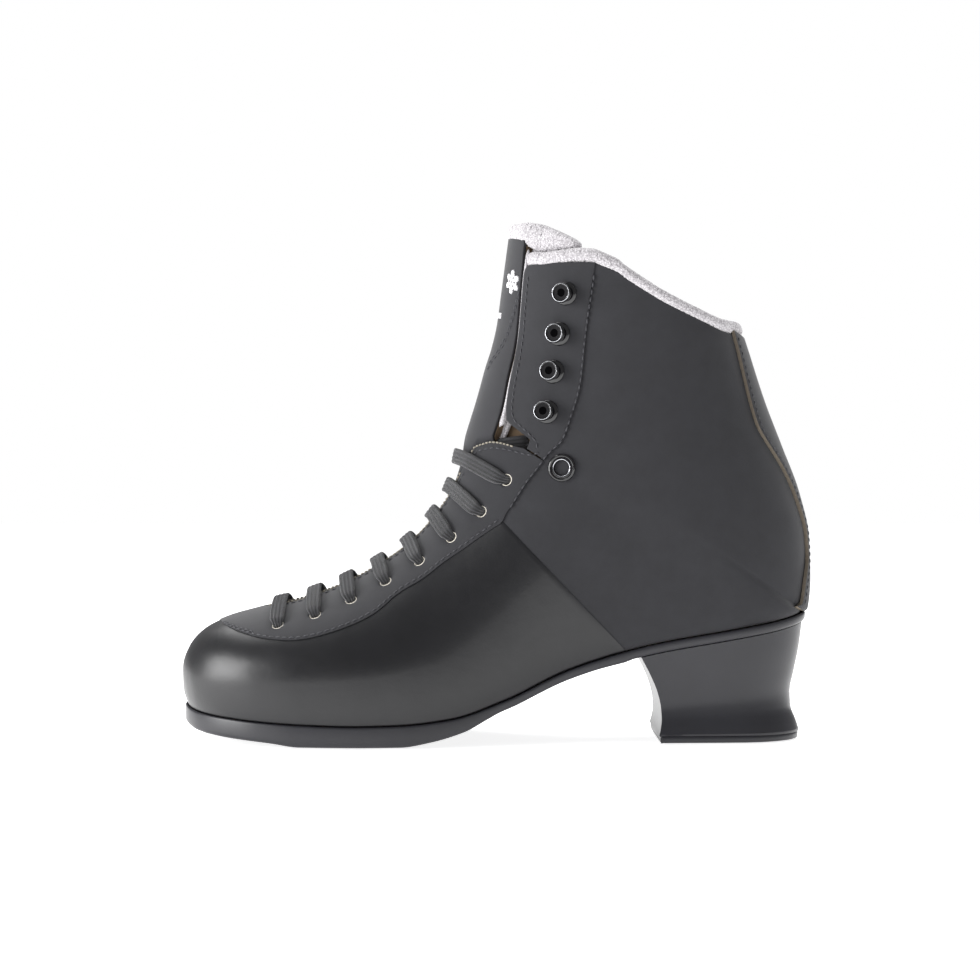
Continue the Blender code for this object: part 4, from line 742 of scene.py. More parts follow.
def liningShell():
    foot = np.concatenate((np.linspace(2.4, 5.4, 16), np.linspace(5.5, 6.2, 8), np.linspace(6.5, 14.8, 44),
                           (15.2, 15.6, 16.1, 16.6, 17.0)))
    low = np.where(foot <= 5.5, 0.0, seam("lining", foot))
    footGrids = between(np.column_stack((foot, low)), np.column_stack((foot, np.ones_like(low))), 40)
    shaft = settledGrid(lambda g: np.full_like(g, heelCorner),
                        lambda g: collarSection(g) - liningShape["drop"],
                        lambda s: seam("lining", s), np.ones_like, 36, 40)
    sections, girths = np.vstack((footGrids[0], shaft[0][1:])), np.vstack((footGrids[1], shaft[1][1:]))
    rows, columns = sections.shape
    points = [onLast(sections, girths, side, liningShape["depth"]).reshape(-1, 3) for side in bothSides]
    near = np.arange(rows * columns).reshape(rows, columns)
    far = near + rows * columns
    nearFloor, farFloor = near[:len(foot), -1], far[:len(foot), -1]
    floor = np.stack((nearFloor[:-1], farFloor[:-1], farFloor[1:], nearFloor[1:]), -1)
    toe = np.stack((near[0, :-1], far[0, :-1], far[0, 1:], near[0, 1:]), -1)
    walls = gridFaces(rows, columns, 0, flip=True), gridFaces(rows, columns, rows * columns)
    mesh = meshFrom("liningShell", np.concatenate(points), np.concatenate((*walls, floor, toe)))
    piece = newObject("liningShell", mesh, ("liningCloth",))
    solid = piece.modifiers.new("thickness", "SOLIDIFY")
    solid.thickness, solid.offset = liningShape["thickness"], -1.0
    present(piece, "boot", "lining", "lining")


def footbedPiece():
    stations = soleStations(90)
    stations = stations[stations[:, 2] > liningShape["narrowest"]]
    top = liftedBase(stations, liningShape["footbedTop"])
    loops = [stationLoop(stations, liningShape["footbedMargin"] - inset * mm, top - drop * mm)
             for inset, drop in ((0.0, 2.4), (0.0, 0.7), (0.5, 0.15), (1.4, 0.0))]
    piece = loopBody("footbedCover", loops, ("liningCloth",))
    present(piece, "boot", "lining", "footbed")


liningShell()
footbedPiece()
print("lining made")


hookShape = {"seat": 0.45, "sides": 48,
             "profile": ((0.0, 0.0), (5.05, 0.0), (5.25, 0.25), (5.2, 0.6), (4.8, 0.95), (3.6, 1.15),
                         (2.7, 1.3), (2.4, 1.7), (2.35, 3.6), (2.6, 4.0), (3.6, 4.1), (4.2, 4.35),
                         (4.45, 4.9), (4.4, 5.5), (4.2, 5.95), (4.02, 6.18), (3.82, 6.22), (3.62, 6.1),
                         (3.45, 5.85), (3.3, 5.6), (1.8, 5.55), (0.0, 5.55))}
# the eyelet's hole is closed 1.4 mm down by a disc that carries painted shade
eyeletShape = {"seat": -0.1, "sides": 56,
               "profile": ((0.0, -1.4), (3.0, -1.4), (3.15, -0.9), (3.2, 0.3), (3.35, 0.95), (3.55, 1.25),
                           (3.8, 1.38), (4.0, 1.2), (4.2, 0.85), (4.5, 0.8), (4.8, 1.25), (5.3, 1.55),
                           (5.8, 1.35), (6.1, 0.9), (6.15, 0.3), (6.1, 0.0), (4.1, 0.0), (4.0, -5.5),
                           (0.0, -5.5))}
holeRim = ((2.3, -1.6), (2.3, 0.35), (2.4, 0.5), (2.65, 0.52), (2.8, 0.4), (2.8, -1.6))
# lacquer, a bright ring that is a painted highlight on the hooks, and a near-black face that is painted shade
# in the eyelets' holes
ringFinish = ("paintedSteel", "eyeletNickelAndPaintedHookHighlight", "hookFaceAndPaintedHoleShade")


def turnedOn(name, place, side, profile, seat, sides, slots, closed, slotFor=None):
    # a profile of (radius, height) in millimetres turned about the last's normal at a place
    section, girth = np.array(place[0]), np.array(place[1])
    centre, normal = onLast(section, girth, side), lastNormal(section, girth, np.array(side))
    first, second = axes(normal)
    points = np.array(profile) * mm
    angle = np.linspace(0, 2 * np.pi, sides, endpoint=False)
    ring = np.cos(angle)[:, None] * first + np.sin(angle)[:, None] * second
    grid = centre + points[:, 0, None, None] * ring[None] + (points[:, 1, None, None] + seat * mm) * normal
    faces = gridFaces(len(points), sides, wrap=True)
    if closed:
        end = (len(points) - 1) * sides
        k = np.arange(sides)
        n = (k + 1) % sides
        faces = np.concatenate((faces, np.stack((end + k, k, n, end + n), -1)))
    slotOf = None if slotFor is None else slotFor(points, faces // sides)
    mesh = meshFrom(name, grid, faces, slotOf=slotOf, merge=1e-6)
    return newObject(name, facedOut(mesh), slots, 50)


def ringSlots(inner, low, high, top):
    # black lacquer, with a bright ring between two radii on the top and a dark face inside it, in
    # millimetres; on the hooks the bright ring is a painted highlight, and on the eyelets the dark face is
    # painted shade down the hole
    def slotFor(points, rows):
        radius, height = points[rows].mean(1)[:, 0] / mm, points[rows].mean(1)[:, 1] / mm
        # the bright ring: the eyelet's own nickel ring, and on the hooks a painted highlight
        ring = (radius > low) & (radius < high) & (height > top)
        # the dark face: the hook head's own black, and in the eyelet the disc and lower wall down the hole as
        # painted shade
        face = (radius < inner) & (height > -1.5) & (height < 6) & (height != 0)
        return np.where(ring, 1, np.where(face, 2, 0))
    return slotFor


def hardware():
    for side, where in ((outerSide, "outer"), (innerSide, "inner")):
        for number, place in enumerate(hookPlaces, start=1):
            # each hook's bright ring on its crest is a painted highlight
            hook = turnedOn(f"laceHook{where.capitalize()}{number}", place, side, hookShape["profile"],
                            hookShape["seat"], hookShape["sides"], ringFinish, False,
                            ringSlots(2.2, 3.72, 4.06, 6.05))
            present(hook, "boot", "black_metal", f"hook_{where}_{number}")
        # the eyelet's hole floor and lower wall are painted shade
        eyelet = turnedOn(f"eyelet{where.capitalize()}", eyeletPlace, side, eyeletShape["profile"],
                          eyeletShape["seat"], eyeletShape["sides"], ringFinish, False,
                          ringSlots(3.19, 3.5, 4.0, 1.2))
        present(eyelet, "boot", "black_metal", f"eyelet_{where}")
        for number, place in enumerate(laceHolePlaces, start=1):
            ring = turnedOn(f"holeRim{where.capitalize()}{number}", place, side, holeRim, 0.0, 28, ("cream",),
                            True)
            present(ring, "boot", "matt_leather")


hardware()
print("hooks and eyelets made")


laceShape = {"width": 7.0 * mm, "thickness": 2.0 * mm, "ribs": 4, "step": 0.9 * mm, "around": 40,
             "over": -3.0 * mm, "run": 3.5 * mm, "aside": 0.06, "lean": 0.05}
laceEndLoop = ((13.30, 0.200), (13.50, 0.145), (13.80, 0.135), (14.02, 0.158), (14.15, 0.190))
# a free end's way from the tuck, through the notch and down the lining: section, girth, depth in millimetres
tailPlaces = ((14.22, 0.204, 4.0), (14.55, 0.238, 4.2), (14.85, 0.268, 4.6), (15.15, 0.290, 5.8),
              (15.36, 0.302, 8.2), (15.42, 0.306, 11.0), (15.34, 0.315, 13.5), (15.10, 0.350, 14.0),
              (14.70, 0.400, 12.5), (14.20, 0.460, 10.5), (13.60, 0.530, 9.8), (13.00, 0.610, 9.8),
              (12.50, 0.690, 10.0), (12.10, 0.770, 10.5), (11.80, 0.850, 12.5))
# the hank on the footbed; entry is x and y where the free end comes in, end is x and the share of the way
# from the inner turn to the middle and the top of the hank
hankShape = {"centre": -60 * mm, "length": 104 * mm, "width": 30 * mm, "height": 7.6 * mm,
             "offset": 17.2 * mm, "rest": 1.5 * mm, "turns": 2.0, "pitch": 3.0 * mm,
             "entry": ((9.0, 19.5), (-8.0, 27.5)),
             "end": ((-88.0, 0.25), (-72.0, 0.55), (-60.0, 0.85), (-52.0, 1.0), (-45.0, 1.0))}


def laceBar(section, girth, side):
    # up through one hole, straight over the throat and down through the opposite hole:
    # section, girth, side, depth, width share, thickness share
    edge = float(seam("throat", np.array(section)))
    rise = ((girth + 0.004, laceShape["run"], 0.85, 0.9), (girth, 1.0 * mm, 0.58, 1.15),
            (girth - 0.010, -1.3 * mm, 0.72, 1.2), (girth - 0.030, -2.2 * mm, 0.94, 1.05),
            ((girth + edge) / 2, -2.15 * mm, 1.0, 1.0), (edge, -2.5 * mm, 1.0, 1.0))
    lean = laceShape["lean"] * (section - laceHolePlaces[0][0])
    half = [(section - lean * (1 - g / girth) ** 0.7 if g < girth else section, g, side, depth, wide, thick)
            for g, depth, wide, thick in rise]
    back = [(at, g, -side, *rest) for at, g, side, *rest in reversed(half)]
    return half + [(section - lean, 0.0, side, laceShape["over"], 1.0, 1.0)] + back


def laceControls():
    under = (laceShape["run"], 0.9, 0.9)
    first = laceHolePlaces[0]
    controls = [(section, girth, innerSide, *under) for section, girth in reversed(laceEndLoop)]
    controls += [(section, girth - laceShape["aside"], innerSide, *under)
                 for section, girth in reversed(laceHolePlaces[:-1])]
    controls += [(first[0], share * first[1], side, *under)
                 for share, side in ((0.5, innerSide), (0.0, innerSide), (0.5, outerSide))]
    side = outerSide
    for section, girth in laceHolePlaces:
        controls += laceBar(section, girth, side)
        side = -side
    return controls + [(section, girth, outerSide, *under) for section, girth in laceEndLoop]


def smoothPath(points, step):
    # Catmull-Rom through the points, then the same curve at even steps of length
    points = np.asarray(points, float)
    ends = np.vstack((2 * points[0] - points[1], points, 2 * points[-1] - points[-2]))
    f = np.linspace(0, 1, 24, endpoint=False)[None, :, None]
    a, b, c, d = (ends[k:len(ends) - 3 + k][:, None, :] for k in range(4))
    curve = 0.5 * (2 * b + (c - a) * f + (2 * a - 5 * b + 4 * c - d) * f ** 2
                   + (3 * b - a - 3 * c + d) * f ** 3)
    curve = np.vstack((curve.reshape(-1, points.shape[1]), points[-1:]))
    lengths = np.concatenate(((0,), np.cumsum(np.linalg.norm(np.diff(curve[:, :3], axis=0), axis=1))))
    at = np.linspace(0, lengths[-1], max(int(lengths[-1] / step), 8))
    return np.stack([np.interp(at, lengths, curve[:, k]) for k in range(curve.shape[1])], -1), at


def flatBand(name, path, across, widths, thicknesses, lengths, slots):
    # a flat ribbed band: across gives the way its width points, made square to the path
    along = unit(np.gradient(path, axis=0))
    wide = unit(across - (across * along).sum(-1, keepdims=True) * along)
    thick = np.cross(along, wide)
    turn = np.linspace(0, 2 * np.pi, laceShape["around"], endpoint=False)
    w = np.sign(np.cos(turn)) * np.abs(np.cos(turn)) ** 0.75
    ribs = 0.70 + 0.30 * np.abs(np.sin(laceShape["ribs"] * np.pi * (w + 1) / 2))
    h = np.sign(np.sin(turn)) * np.abs(np.sin(turn)) ** 0.55 * ribs
    grid = (path[:, None] + wide[:, None] * (w[None, :, None] * widths[:, None, None] / 2)
            + thick[:, None] * (h[None, :, None] * thicknesses[:, None, None] / 2))
    rows, around = len(path), len(turn)
    halfWidth = laceShape["width"] / 2 / mm
    uv = np.stack((np.broadcast_to(w[None, :] * halfWidth, (rows, around)),
                   np.broadcast_to(lengths[:, None] / mm, (rows, around))), -1)
    faces = np.concatenate((gridFaces(rows, around, wrap=True), ladderCaps(rows, around)))
    mesh = meshFrom(name, grid, faces, merge=0, uv=uv.reshape(-1, 2))
    return newObject(name, facedOut(mesh), slots, 60)


def sectionWay(controls):
    # the unit direction along the boot at each control, which the lace's width follows
    section, girth, side, depth = (np.array([c[k] for c in controls]) for k in range(4))
    ahead = onLast(section + 0.05, girth, side, depth) - onLast(section - 0.05, girth, side, depth)
    return onLast(section, girth, side, depth), unit(ahead)


def threadedLace():
    # the band carried along the controls, its width turned along the boot
    controls = laceControls()
    points, way = sectionWay(controls)
    shares = np.array([c[4:6] for c in controls])
    path, lengths = smoothPath(np.hstack((points, way, shares)), laceShape["step"])
    piece = flatBand("threadedLace", path[:, :3], path[:, 3:6], path[:, 6] * laceShape["width"],
                     path[:, 7] * laceShape["thickness"], lengths, ("lace",))
    present(piece, "boot", "lace", "lace")
    print("lace", round(lengths[-1], 3), "m through the holes")


def restHeight(x):
    # what lies on the footbed rests at this height
    stations = soleStations(110)
    return np.interp(x, stations[:, 0], liftedBase(stations, 11.4 * mm))


def hankPlan(side):
    # a flat spiral of long turns, from the wall side at its heel end, and the outward way at each place
    count = 420
    turn = np.linspace(0, hankShape["turns"], count)
    inset = turn * hankShape["pitch"]
    half = (hankShape["length"] - hankShape["width"]) / 2
    radius = hankShape["width"] / 2 - 0.9 * mm - inset
    straight = 2 * half / (4 * half + 2 * np.pi * radius.mean())
    phase = np.mod(turn, 1.0)
    bend = 0.5 - straight
    first = np.clip(phase / straight, 0, 1)
    arc = np.clip((phase - straight) / bend, 0, 1)
    second = np.clip((phase - 0.5) / straight, 0, 1)
    lastArc = np.clip((phase - 0.5 - straight) / bend, 0, 1)
    x = half - 2 * half * first + 2 * half * second
    angle = np.pi * (arc + lastArc)
    outward = np.stack((-np.sin(angle), side * np.cos(angle)), -1)
    middle = np.stack((hankShape["centre"] + x, np.full(count, side * hankShape["offset"])), -1)
    return middle + outward * radius[:, None], outward


def laceTail(side, where):
    # a free end: from its tuck down the lining, round its hank and up to its aglet
    section, girth, depth = np.array(tailPlaces).T
    wall = onLast(section, girth, side, depth * mm)
    wallOut = lastNormal(section, girth, np.full(len(section), side))
    plan, outward = hankPlan(side)
    skip = plan[::4], outward[::4]
    middle = hankShape["rest"] + hankShape["height"] / 2
    hank = np.column_stack((skip[0], restHeight(skip[0][:, 0]) + middle))
    hankOut = np.column_stack((skip[1], np.zeros(len(hank))))
    entry = np.array(hankShape["entry"]) * mm
    entryPoints = np.column_stack((entry[:, 0], side * entry[:, 1], restHeight(entry[:, 0]) + middle))
    entryOut = np.tile((0.0, side, 0.0), (len(entry), 1))
    # the end climbs out of the turns and lies on top of them, up to the aglet
    endX, share = np.array(hankShape["end"]).T
    endX = endX * mm
    top = hankShape["rest"] + hankShape["height"] + 1.8 * mm
    inner = hank[-1, 1]
    endPoints = np.column_stack((endX, inner + (side * hankShape["offset"] - inner) * share,
                                 restHeight(endX) + middle + (top - middle) * share))
    endOut = np.tile((0.0, side, 0.0), (len(endX), 1))
    start = np.array([onLast(np.array(14.15), np.array(0.190), side, laceShape["run"])])
    startOut = lastNormal(np.array([14.15]), np.array([0.19]), np.array([side]))
    hank, hankOut = hank[:-14], hankOut[:-14]
    points = np.concatenate((start, wall, entryPoints, hank, endPoints))
    outs = np.concatenate((startOut, wallOut, entryOut, hankOut, endOut))
    shares = np.ones(len(points))
    shares[-2:] = (0.7, 0.42)
    path, lengths = smoothPath(np.hstack((points, outs, shares[:, None])), 1.6 * mm)
    along = unit(np.gradient(path[:, :3], axis=0))
    across = np.cross(path[:, 3:6], along)
    piece = flatBand(f"laceTail{where.capitalize()}", path[:, :3], across, path[:, 6] * laceShape["width"],
                     np.full(len(path), laceShape["thickness"] * 0.8), lengths, ("lace",))
    present(piece, "boot", "lace", f"lace_tail_{where}", f"lace_hank_{where}")
    print("tail", where, round(lengths[-1], 3), "m")


threadedLace()
laceTail(outerSide, "outer")
laceTail(innerSide, "inner")
print("lace made")


rollShape = {"thickness": 9.6 * mm, "height": 6.6 * mm, "rise": 0.6 * mm, "loop": 1.35 * mm,
             "loopHeight": 0.42 * mm}


def clothLoops(u, v, cell, seed):
    # rounded bumps: one minus the distance to the nearest of one jittered point in each cell
    cu, cv = np.floor(u / cell), np.floor(v / cell)
    nearest = np.full(u.shape, 9.0)
    for du in (-1, 0, 1):
        for dv in (-1, 0, 1):
            i, j = cu + du, cv + dv
            jitterU = np.modf(np.abs(np.sin(i * 127.1 + j * 311.7 + seed) * 43758.5))[0]
            jitterV = np.modf(np.abs(np.sin(i * 269.5 + j * 183.3 + seed) * 24634.6))[0]
            reach = np.hypot(i + 0.5 + 0.7 * (jitterU - 0.5) - u / cell,
                             j + 0.5 + 0.7 * (jitterV - 0.5) - v / cell)
            nearest = np.minimum(nearest, reach)
    return np.sqrt(np.clip(1 - (nearest / 0.75) ** 2, 0, 1))


def gridNormals(grid):
    # the cross product of the directions down and round a closed grid
    return unit(np.cross(np.gradient(grid, axis=0), np.roll(grid, -1, axis=1) - np.roll(grid, 1, axis=1)))


def rollBody(name, centres, across, up, widths, heights, cell, bump, slots, seed):
    # an oval swept along its centres, roughened with cloth loops, its ends drawn in to a point
    turn = np.linspace(0, 2 * np.pi, 52, endpoint=False)
    c = np.sign(np.cos(turn)) * np.abs(np.cos(turn)) ** 0.8
    q = np.sign(np.sin(turn)) * np.abs(np.sin(turn)) ** 0.8
    grid = (centres[:, None] + across[:, None] * (c[None, :, None] * widths[:, None, None] / 2)
            + up[:, None] * (q[None, :, None] * heights[:, None, None] / 2))
    lengths = np.concatenate(((0,), np.cumsum(np.linalg.norm(np.diff(centres, axis=0), axis=1))))
    around = turn / (2 * np.pi) * 26 * mm
    loops = clothLoops(np.broadcast_to(lengths[:, None], grid.shape[:2]),
                       np.broadcast_to(around[None], grid.shape[:2]), cell, seed)
    normals = gridNormals(grid)
    outwards = np.sign(((grid - centres[:, None]) * normals).sum(-1, keepdims=True))
    grid = grid + normals * outwards * (loops[..., None] - 0.5) * bump
    rows, columns = grid.shape[:2]
    points = np.concatenate((grid.reshape(-1, 3), grid[:1].mean(1), grid[-1:].mean(1)))
    k = np.arange(columns)
    n = (k + 1) % columns
    end = (rows - 1) * columns
    caps = np.concatenate((np.stack((k, n, np.full(columns, rows * columns)), -1),
                           np.stack((n + end, k + end, np.full(columns, rows * columns + 1)), -1)))
    faces = gridFaces(rows, columns, wrap=True).tolist() + caps.tolist()
    mesh = bpy.data.meshes.new(name)
    mesh.from_pydata(points.tolist(), [], faces)
    return newObject(name, facedOut(mesh), slots, 180)


def collarRoll():
    # an oval swept along the collar edge from one front end round the back to the other
    girths = np.linspace(0.222, 1.0, 330)
    girths = np.concatenate((girths, girths[::-1][1:]))
    sides = np.concatenate((np.full(330, outerSide), np.full(329, innerSide)))
    middle = 3.6 * mm
    section = collarSection(girths)
    edge = onLast(section, girths, sides, middle)
    up = unit(onLast(section + 0.3, girths, sides, middle) - edge)
    centres = edge + up * (rollShape["height"] / 2 - rollShape["rise"])
    across = unit(np.cross(np.gradient(centres, axis=0), up))
    t = np.linspace(0, 1, len(girths))
    ends = np.clip(np.minimum(t, 1 - t) / 0.012, 0.0, 1)
    taper = 0.25 + 0.75 * np.sqrt(1 - (1 - ends) ** 2)
    piece = rollBody("collarRollCover", centres, across, up, rollShape["thickness"] * taper,
                     rollShape["height"] * taper, rollShape["loop"], rollShape["loopHeight"], ("terry",), 3.0)
    present(piece, "boot", "terry", "collar_roll")


collarRoll()
print("collar roll made")


tongueShape = {"cover": 1.6 * mm, "foam": 3.4 * mm, "terry": 1.6 * mm,
               "blendFrom": (-0.0125, 0.0, 0.127), "blendTo": (-0.0105, 0.0, 0.147)}
tongueEdge = ((6.3, 0.20), (8.0, 0.27), (12.0, 0.29), (13.3, 0.27), (14.3, 0.225), (16.9, 0.216),
              (19.0, 0.204), (23.56, 0.202))
bandLow = ((0.0, 23.50), (0.08, 23.50), (0.15, 23.50), (0.205, 23.42), (0.25, 23.34), (0.30, 23.50),
           (0.36, 23.76), (0.43, 24.02))
bandTop = ((0.0, 24.19), (0.08, 24.17), (0.12, 24.20), (0.15, 24.25), (0.205, 24.33), (0.25, 24.36),
           (0.30, 24.34), (0.36, 24.31), (0.43, 24.24))
# the turned terry edge: section, girth, radius in millimetres
terryEdge = ((15.5, 0.226, 0.5), (16.0, 0.232, 1.3), (16.9, 0.229, 1.2), (18.0, 0.222, 1.1),
             (20.0, 0.215, 1.0), (22.0, 0.214, 1.0), (23.3, 0.218, 0.8))


def eased(share):
    # 3 t^2 - 2 t^3, level at both ends
    return share * share * (3 - 2 * share)


def tongueLift(section, girth):
    # under the stay the tongue lies deeper; in the throat it bulges up between its edges
    ends = np.array(stayEndFront)
    top = np.interp(girth, ends[:, 1], ends[:, 0], left=12.95)
    edge = np.where(section < 13.5, seam("throat", section), 0.14)
    under = np.clip((top + 0.45 - section) / 0.5, 0, 1)
    beside = np.clip((girth - 0.35 * edge) / (0.75 * edge + 1e-6), 0, 1)
    low = eased(np.clip(14.2 - section, 0, 1))
    return 0.5 * mm * low + 2.3 * mm * eased(under) * eased(beside)


def tongueSheets():
    # cover, foam and terry, one under the other; extra widens a layer at its upper edges
    edges = np.array(tongueEdge)
    sections = np.linspace(6.3, 23.62, 190)
    for name, extra, depth, thickness, slots, slotName, nodes in (
            ("tongueCover", 0.0, 0.0, "cover", ("nubuck", "darkEdge"), "matt_leather", ("tongue_front",)),
            ("tongueFoam", -0.002, 1.65 * mm, "foam", ("foam", "foam"), "foam", ()),
            ("tongueLining", 0.014, 5.1 * mm, "terry", ("terry", "terry"), "terry", ("tongue_lining",))):
        high = smoothCurve(edges[:, 0], edges[:, 1], sections)[:, 0]
        high = high + extra * np.clip((sections - 14.0) / 2.0, 0, 1)
        middle = np.column_stack((sections, np.zeros_like(high)))
        grids = between(middle, np.column_stack((sections, high)), 30)
        piece = leatherPiece(name, [(*grids, side) for side in bothSides], depth, tongueShape[thickness],
                             slots, 0.3 * mm, tongueLift)
        applyModifiers(piece)
        if nodes:
            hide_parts(*nodes)
        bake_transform(piece)


def tongueTerryEdges():
    # the terry turned round the tongue's two edges, wider where it reaches the notch
    edge = np.array(terryEdge)
    rows, around = 260, 16
    sections = np.linspace(edge[0, 0], edge[-1, 0], rows)
    girths, radii = smoothCurve(edge[:, 0], edge[:, 1:], sections).T
    turn = np.linspace(0, 2 * np.pi, around, endpoint=False)
    fromEnd = np.minimum(np.arange(rows), np.arange(rows)[::-1])
    size = (radii * mm * np.sqrt(np.clip(fromEnd / 8, 0.05, 1)))[:, None, None]
    grids, faces = [], []
    for k, side in enumerate(bothSides):
        centres = onLast(sections, girths, side, 1.3 * mm)
        out = lastNormal(sections, girths, np.full(rows, side))
        across = unit(np.cross(np.gradient(centres, axis=0), out))
        grid = (centres[:, None] + across[:, None] * (np.cos(turn)[None, :, None] * size)
                + out[:, None] * (np.sin(turn)[None, :, None] * size * 1.2))
        grids.append(grid.reshape(-1, 3))
        start = k * rows * around
        faces += [gridFaces(rows, around, start=start, wrap=True), ladderCaps(rows, around) + start]
    mesh = meshFrom("tongueTerryEdges", np.concatenate(grids), np.concatenate(faces), merge=0)
    piece = newObject("tongueTerryEdges", facedOut(mesh), ("terry",), 180)
    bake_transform(piece)


def tongueRoot():
    # the root's wings, which close the notch from inside
    sections = np.linspace(6.6, 16.3, 70)
    wide = np.interp(sections, (6.6, 8.0, 12.5, 15.2, 16.3), (0.22, 0.34, 0.42, 0.40, 0.30))
    grids = between(np.column_stack((sections, np.zeros_like(wide))), np.column_stack((sections, wide)), 30)
    piece = leatherPiece("tongueRootWings", [(*grids, side) for side in bothSides], 7.9 * mm, 2.4 * mm,
                         ("foam", "foam"), 0.3 * mm)
    present(piece, "boot", "matt_leather", "tongue_root")


def tongueBand():
    # an oval from the low line to the top line, swept across the tongue, tapered at its ends
    girths = np.linspace(-0.43, 0.43, 420)
    sides, size = np.where(girths < 0, outerSide, innerSide), np.abs(girths)
    low, top = np.array(bandLow), np.array(bandTop)
    lowAt = smoothCurve(low[:, 0], low[:, 1], size)[:, 0]
    topAt = smoothCurve(top[:, 0], top[:, 1], size)[:, 0]
    depth = 3.2 * mm + 2.6 * mm * np.clip((size - 0.18) / 0.08, 0, 1)
    bottom, head = onLast(lowAt, size, sides, depth), onLast(topAt, size, sides, depth)
    up = unit(head - bottom)
    heights = np.linalg.norm(head - bottom, axis=1) + 0.6 * mm
    centres = (bottom + head) / 2
    across = unit(np.cross(np.gradient(centres, axis=0), up))
    t = np.linspace(0, 1, len(girths))
    ends = np.clip(np.minimum(t, 1 - t) / 0.03, 0, 1)
    taper = 0.3 + 0.7 * np.sqrt(1 - (1 - ends) ** 2)
    piece = rollBody("tongueBandCover", centres, across, up, 7.2 * mm * taper, heights * taper,
                     rollShape["loop"], rollShape["loopHeight"], ("terry",), 8.0)
    present(piece, "tongue", "terry", "tongue_band")


tongueSheets()
tongueTerryEdges()
tongueRoot()
tongueBand()
print("tongue made")


stitchShape = {"length": 2.5 * mm, "pitch": 3.2 * mm, "radius": 0.36 * mm, "sink": 0.22 * mm}


def threadStitches(centres, tangents, normals, length, radius, sink):
    # one small capsule for each stitch, its two ends bent down into the leather
    along = np.array((-0.5, -0.38, -0.15, 0.15, 0.38, 0.5))
    fat = np.array((0.35, 0.9, 1.0, 1.0, 0.9, 0.35))
    drop = np.array((-1.6, -0.4, 0.0, 0.0, -0.4, -1.6)) * radius
    turn = np.linspace(0, 2 * np.pi, 6, endpoint=False)
    wide = unit(np.cross(normals, tangents))
    c, t, n, w = (a[:, None, None, :] for a in (centres, tangents, normals, wide))
    rim = w * np.cos(turn)[None, None, :, None] + n * np.sin(turn)[None, None, :, None]
    grid = (c + t * (along * length)[None, :, None, None] + n * ((drop - sink)[:, None, None] + radius)[None]
            + rim * (fat * radius)[None, :, None, None])
    count, rows, sides = grid.shape[:3]
    one = gridFaces(rows, sides, wrap=True)
    caps = np.array([[0, 1, 2, 3], [0, 3, 4, 5]])
    one = np.concatenate((one[:, ::-1], caps, caps[:, ::-1] + (rows - 1) * sides))
    faces = (one[None] + (np.arange(count) * rows * sides)[:, None, None]).reshape(-1, 4)
    return grid.reshape(-1, 3), faces


def spacedOnLast(line, side, depth, pitch):
    # places at even steps along a line of (section, girth) on the last
    dense = resampled(line, 400)
    points = onLast(dense[:, 0], dense[:, 1], side, depth)
    lengths = np.concatenate(((0,), np.cumsum(np.linalg.norm(np.diff(points, axis=0), axis=1))))
    at = np.arange(pitch / 2, lengths[-1], pitch)
    places = np.stack([np.interp(at, lengths, dense[:, k]) for k in range(2)], -1)
    centres = np.stack([np.interp(at, lengths, points[:, k]) for k in range(3)], -1)
    slopes = unit(np.gradient(points, axis=0))
    tangents = unit(np.stack([np.interp(at, lengths, slopes[:, k]) for k in range(3)], -1))
    normals = lastNormal(places[:, 0], places[:, 1], np.full(len(at), side))
    return centres, tangents, normals


def stitchLines(name, lines, body="boot", finish="thread", **shape):
    size = {**stitchShape, **shape}
    points, faces, start = [], [], 0
    for line, side, depth in lines:
        centres, tangents, normals = spacedOnLast(line, side, depth, size["pitch"])
        some, quads = threadStitches(centres, tangents, normals, size["length"], size["radius"], size["sink"])
        points.append(some)
        faces.append(quads + start)
        start += len(some)
    mesh = meshFrom(name, np.concatenate(points), np.concatenate(faces), merge=0)
    present(newObject(name, mesh, (finish,), 70), body, "matt_leather")


def besideSeam(name, first, end, count, aside):
    sections = np.linspace(first, end, count)
    return np.column_stack((sections, seam(name, sections) + aside))


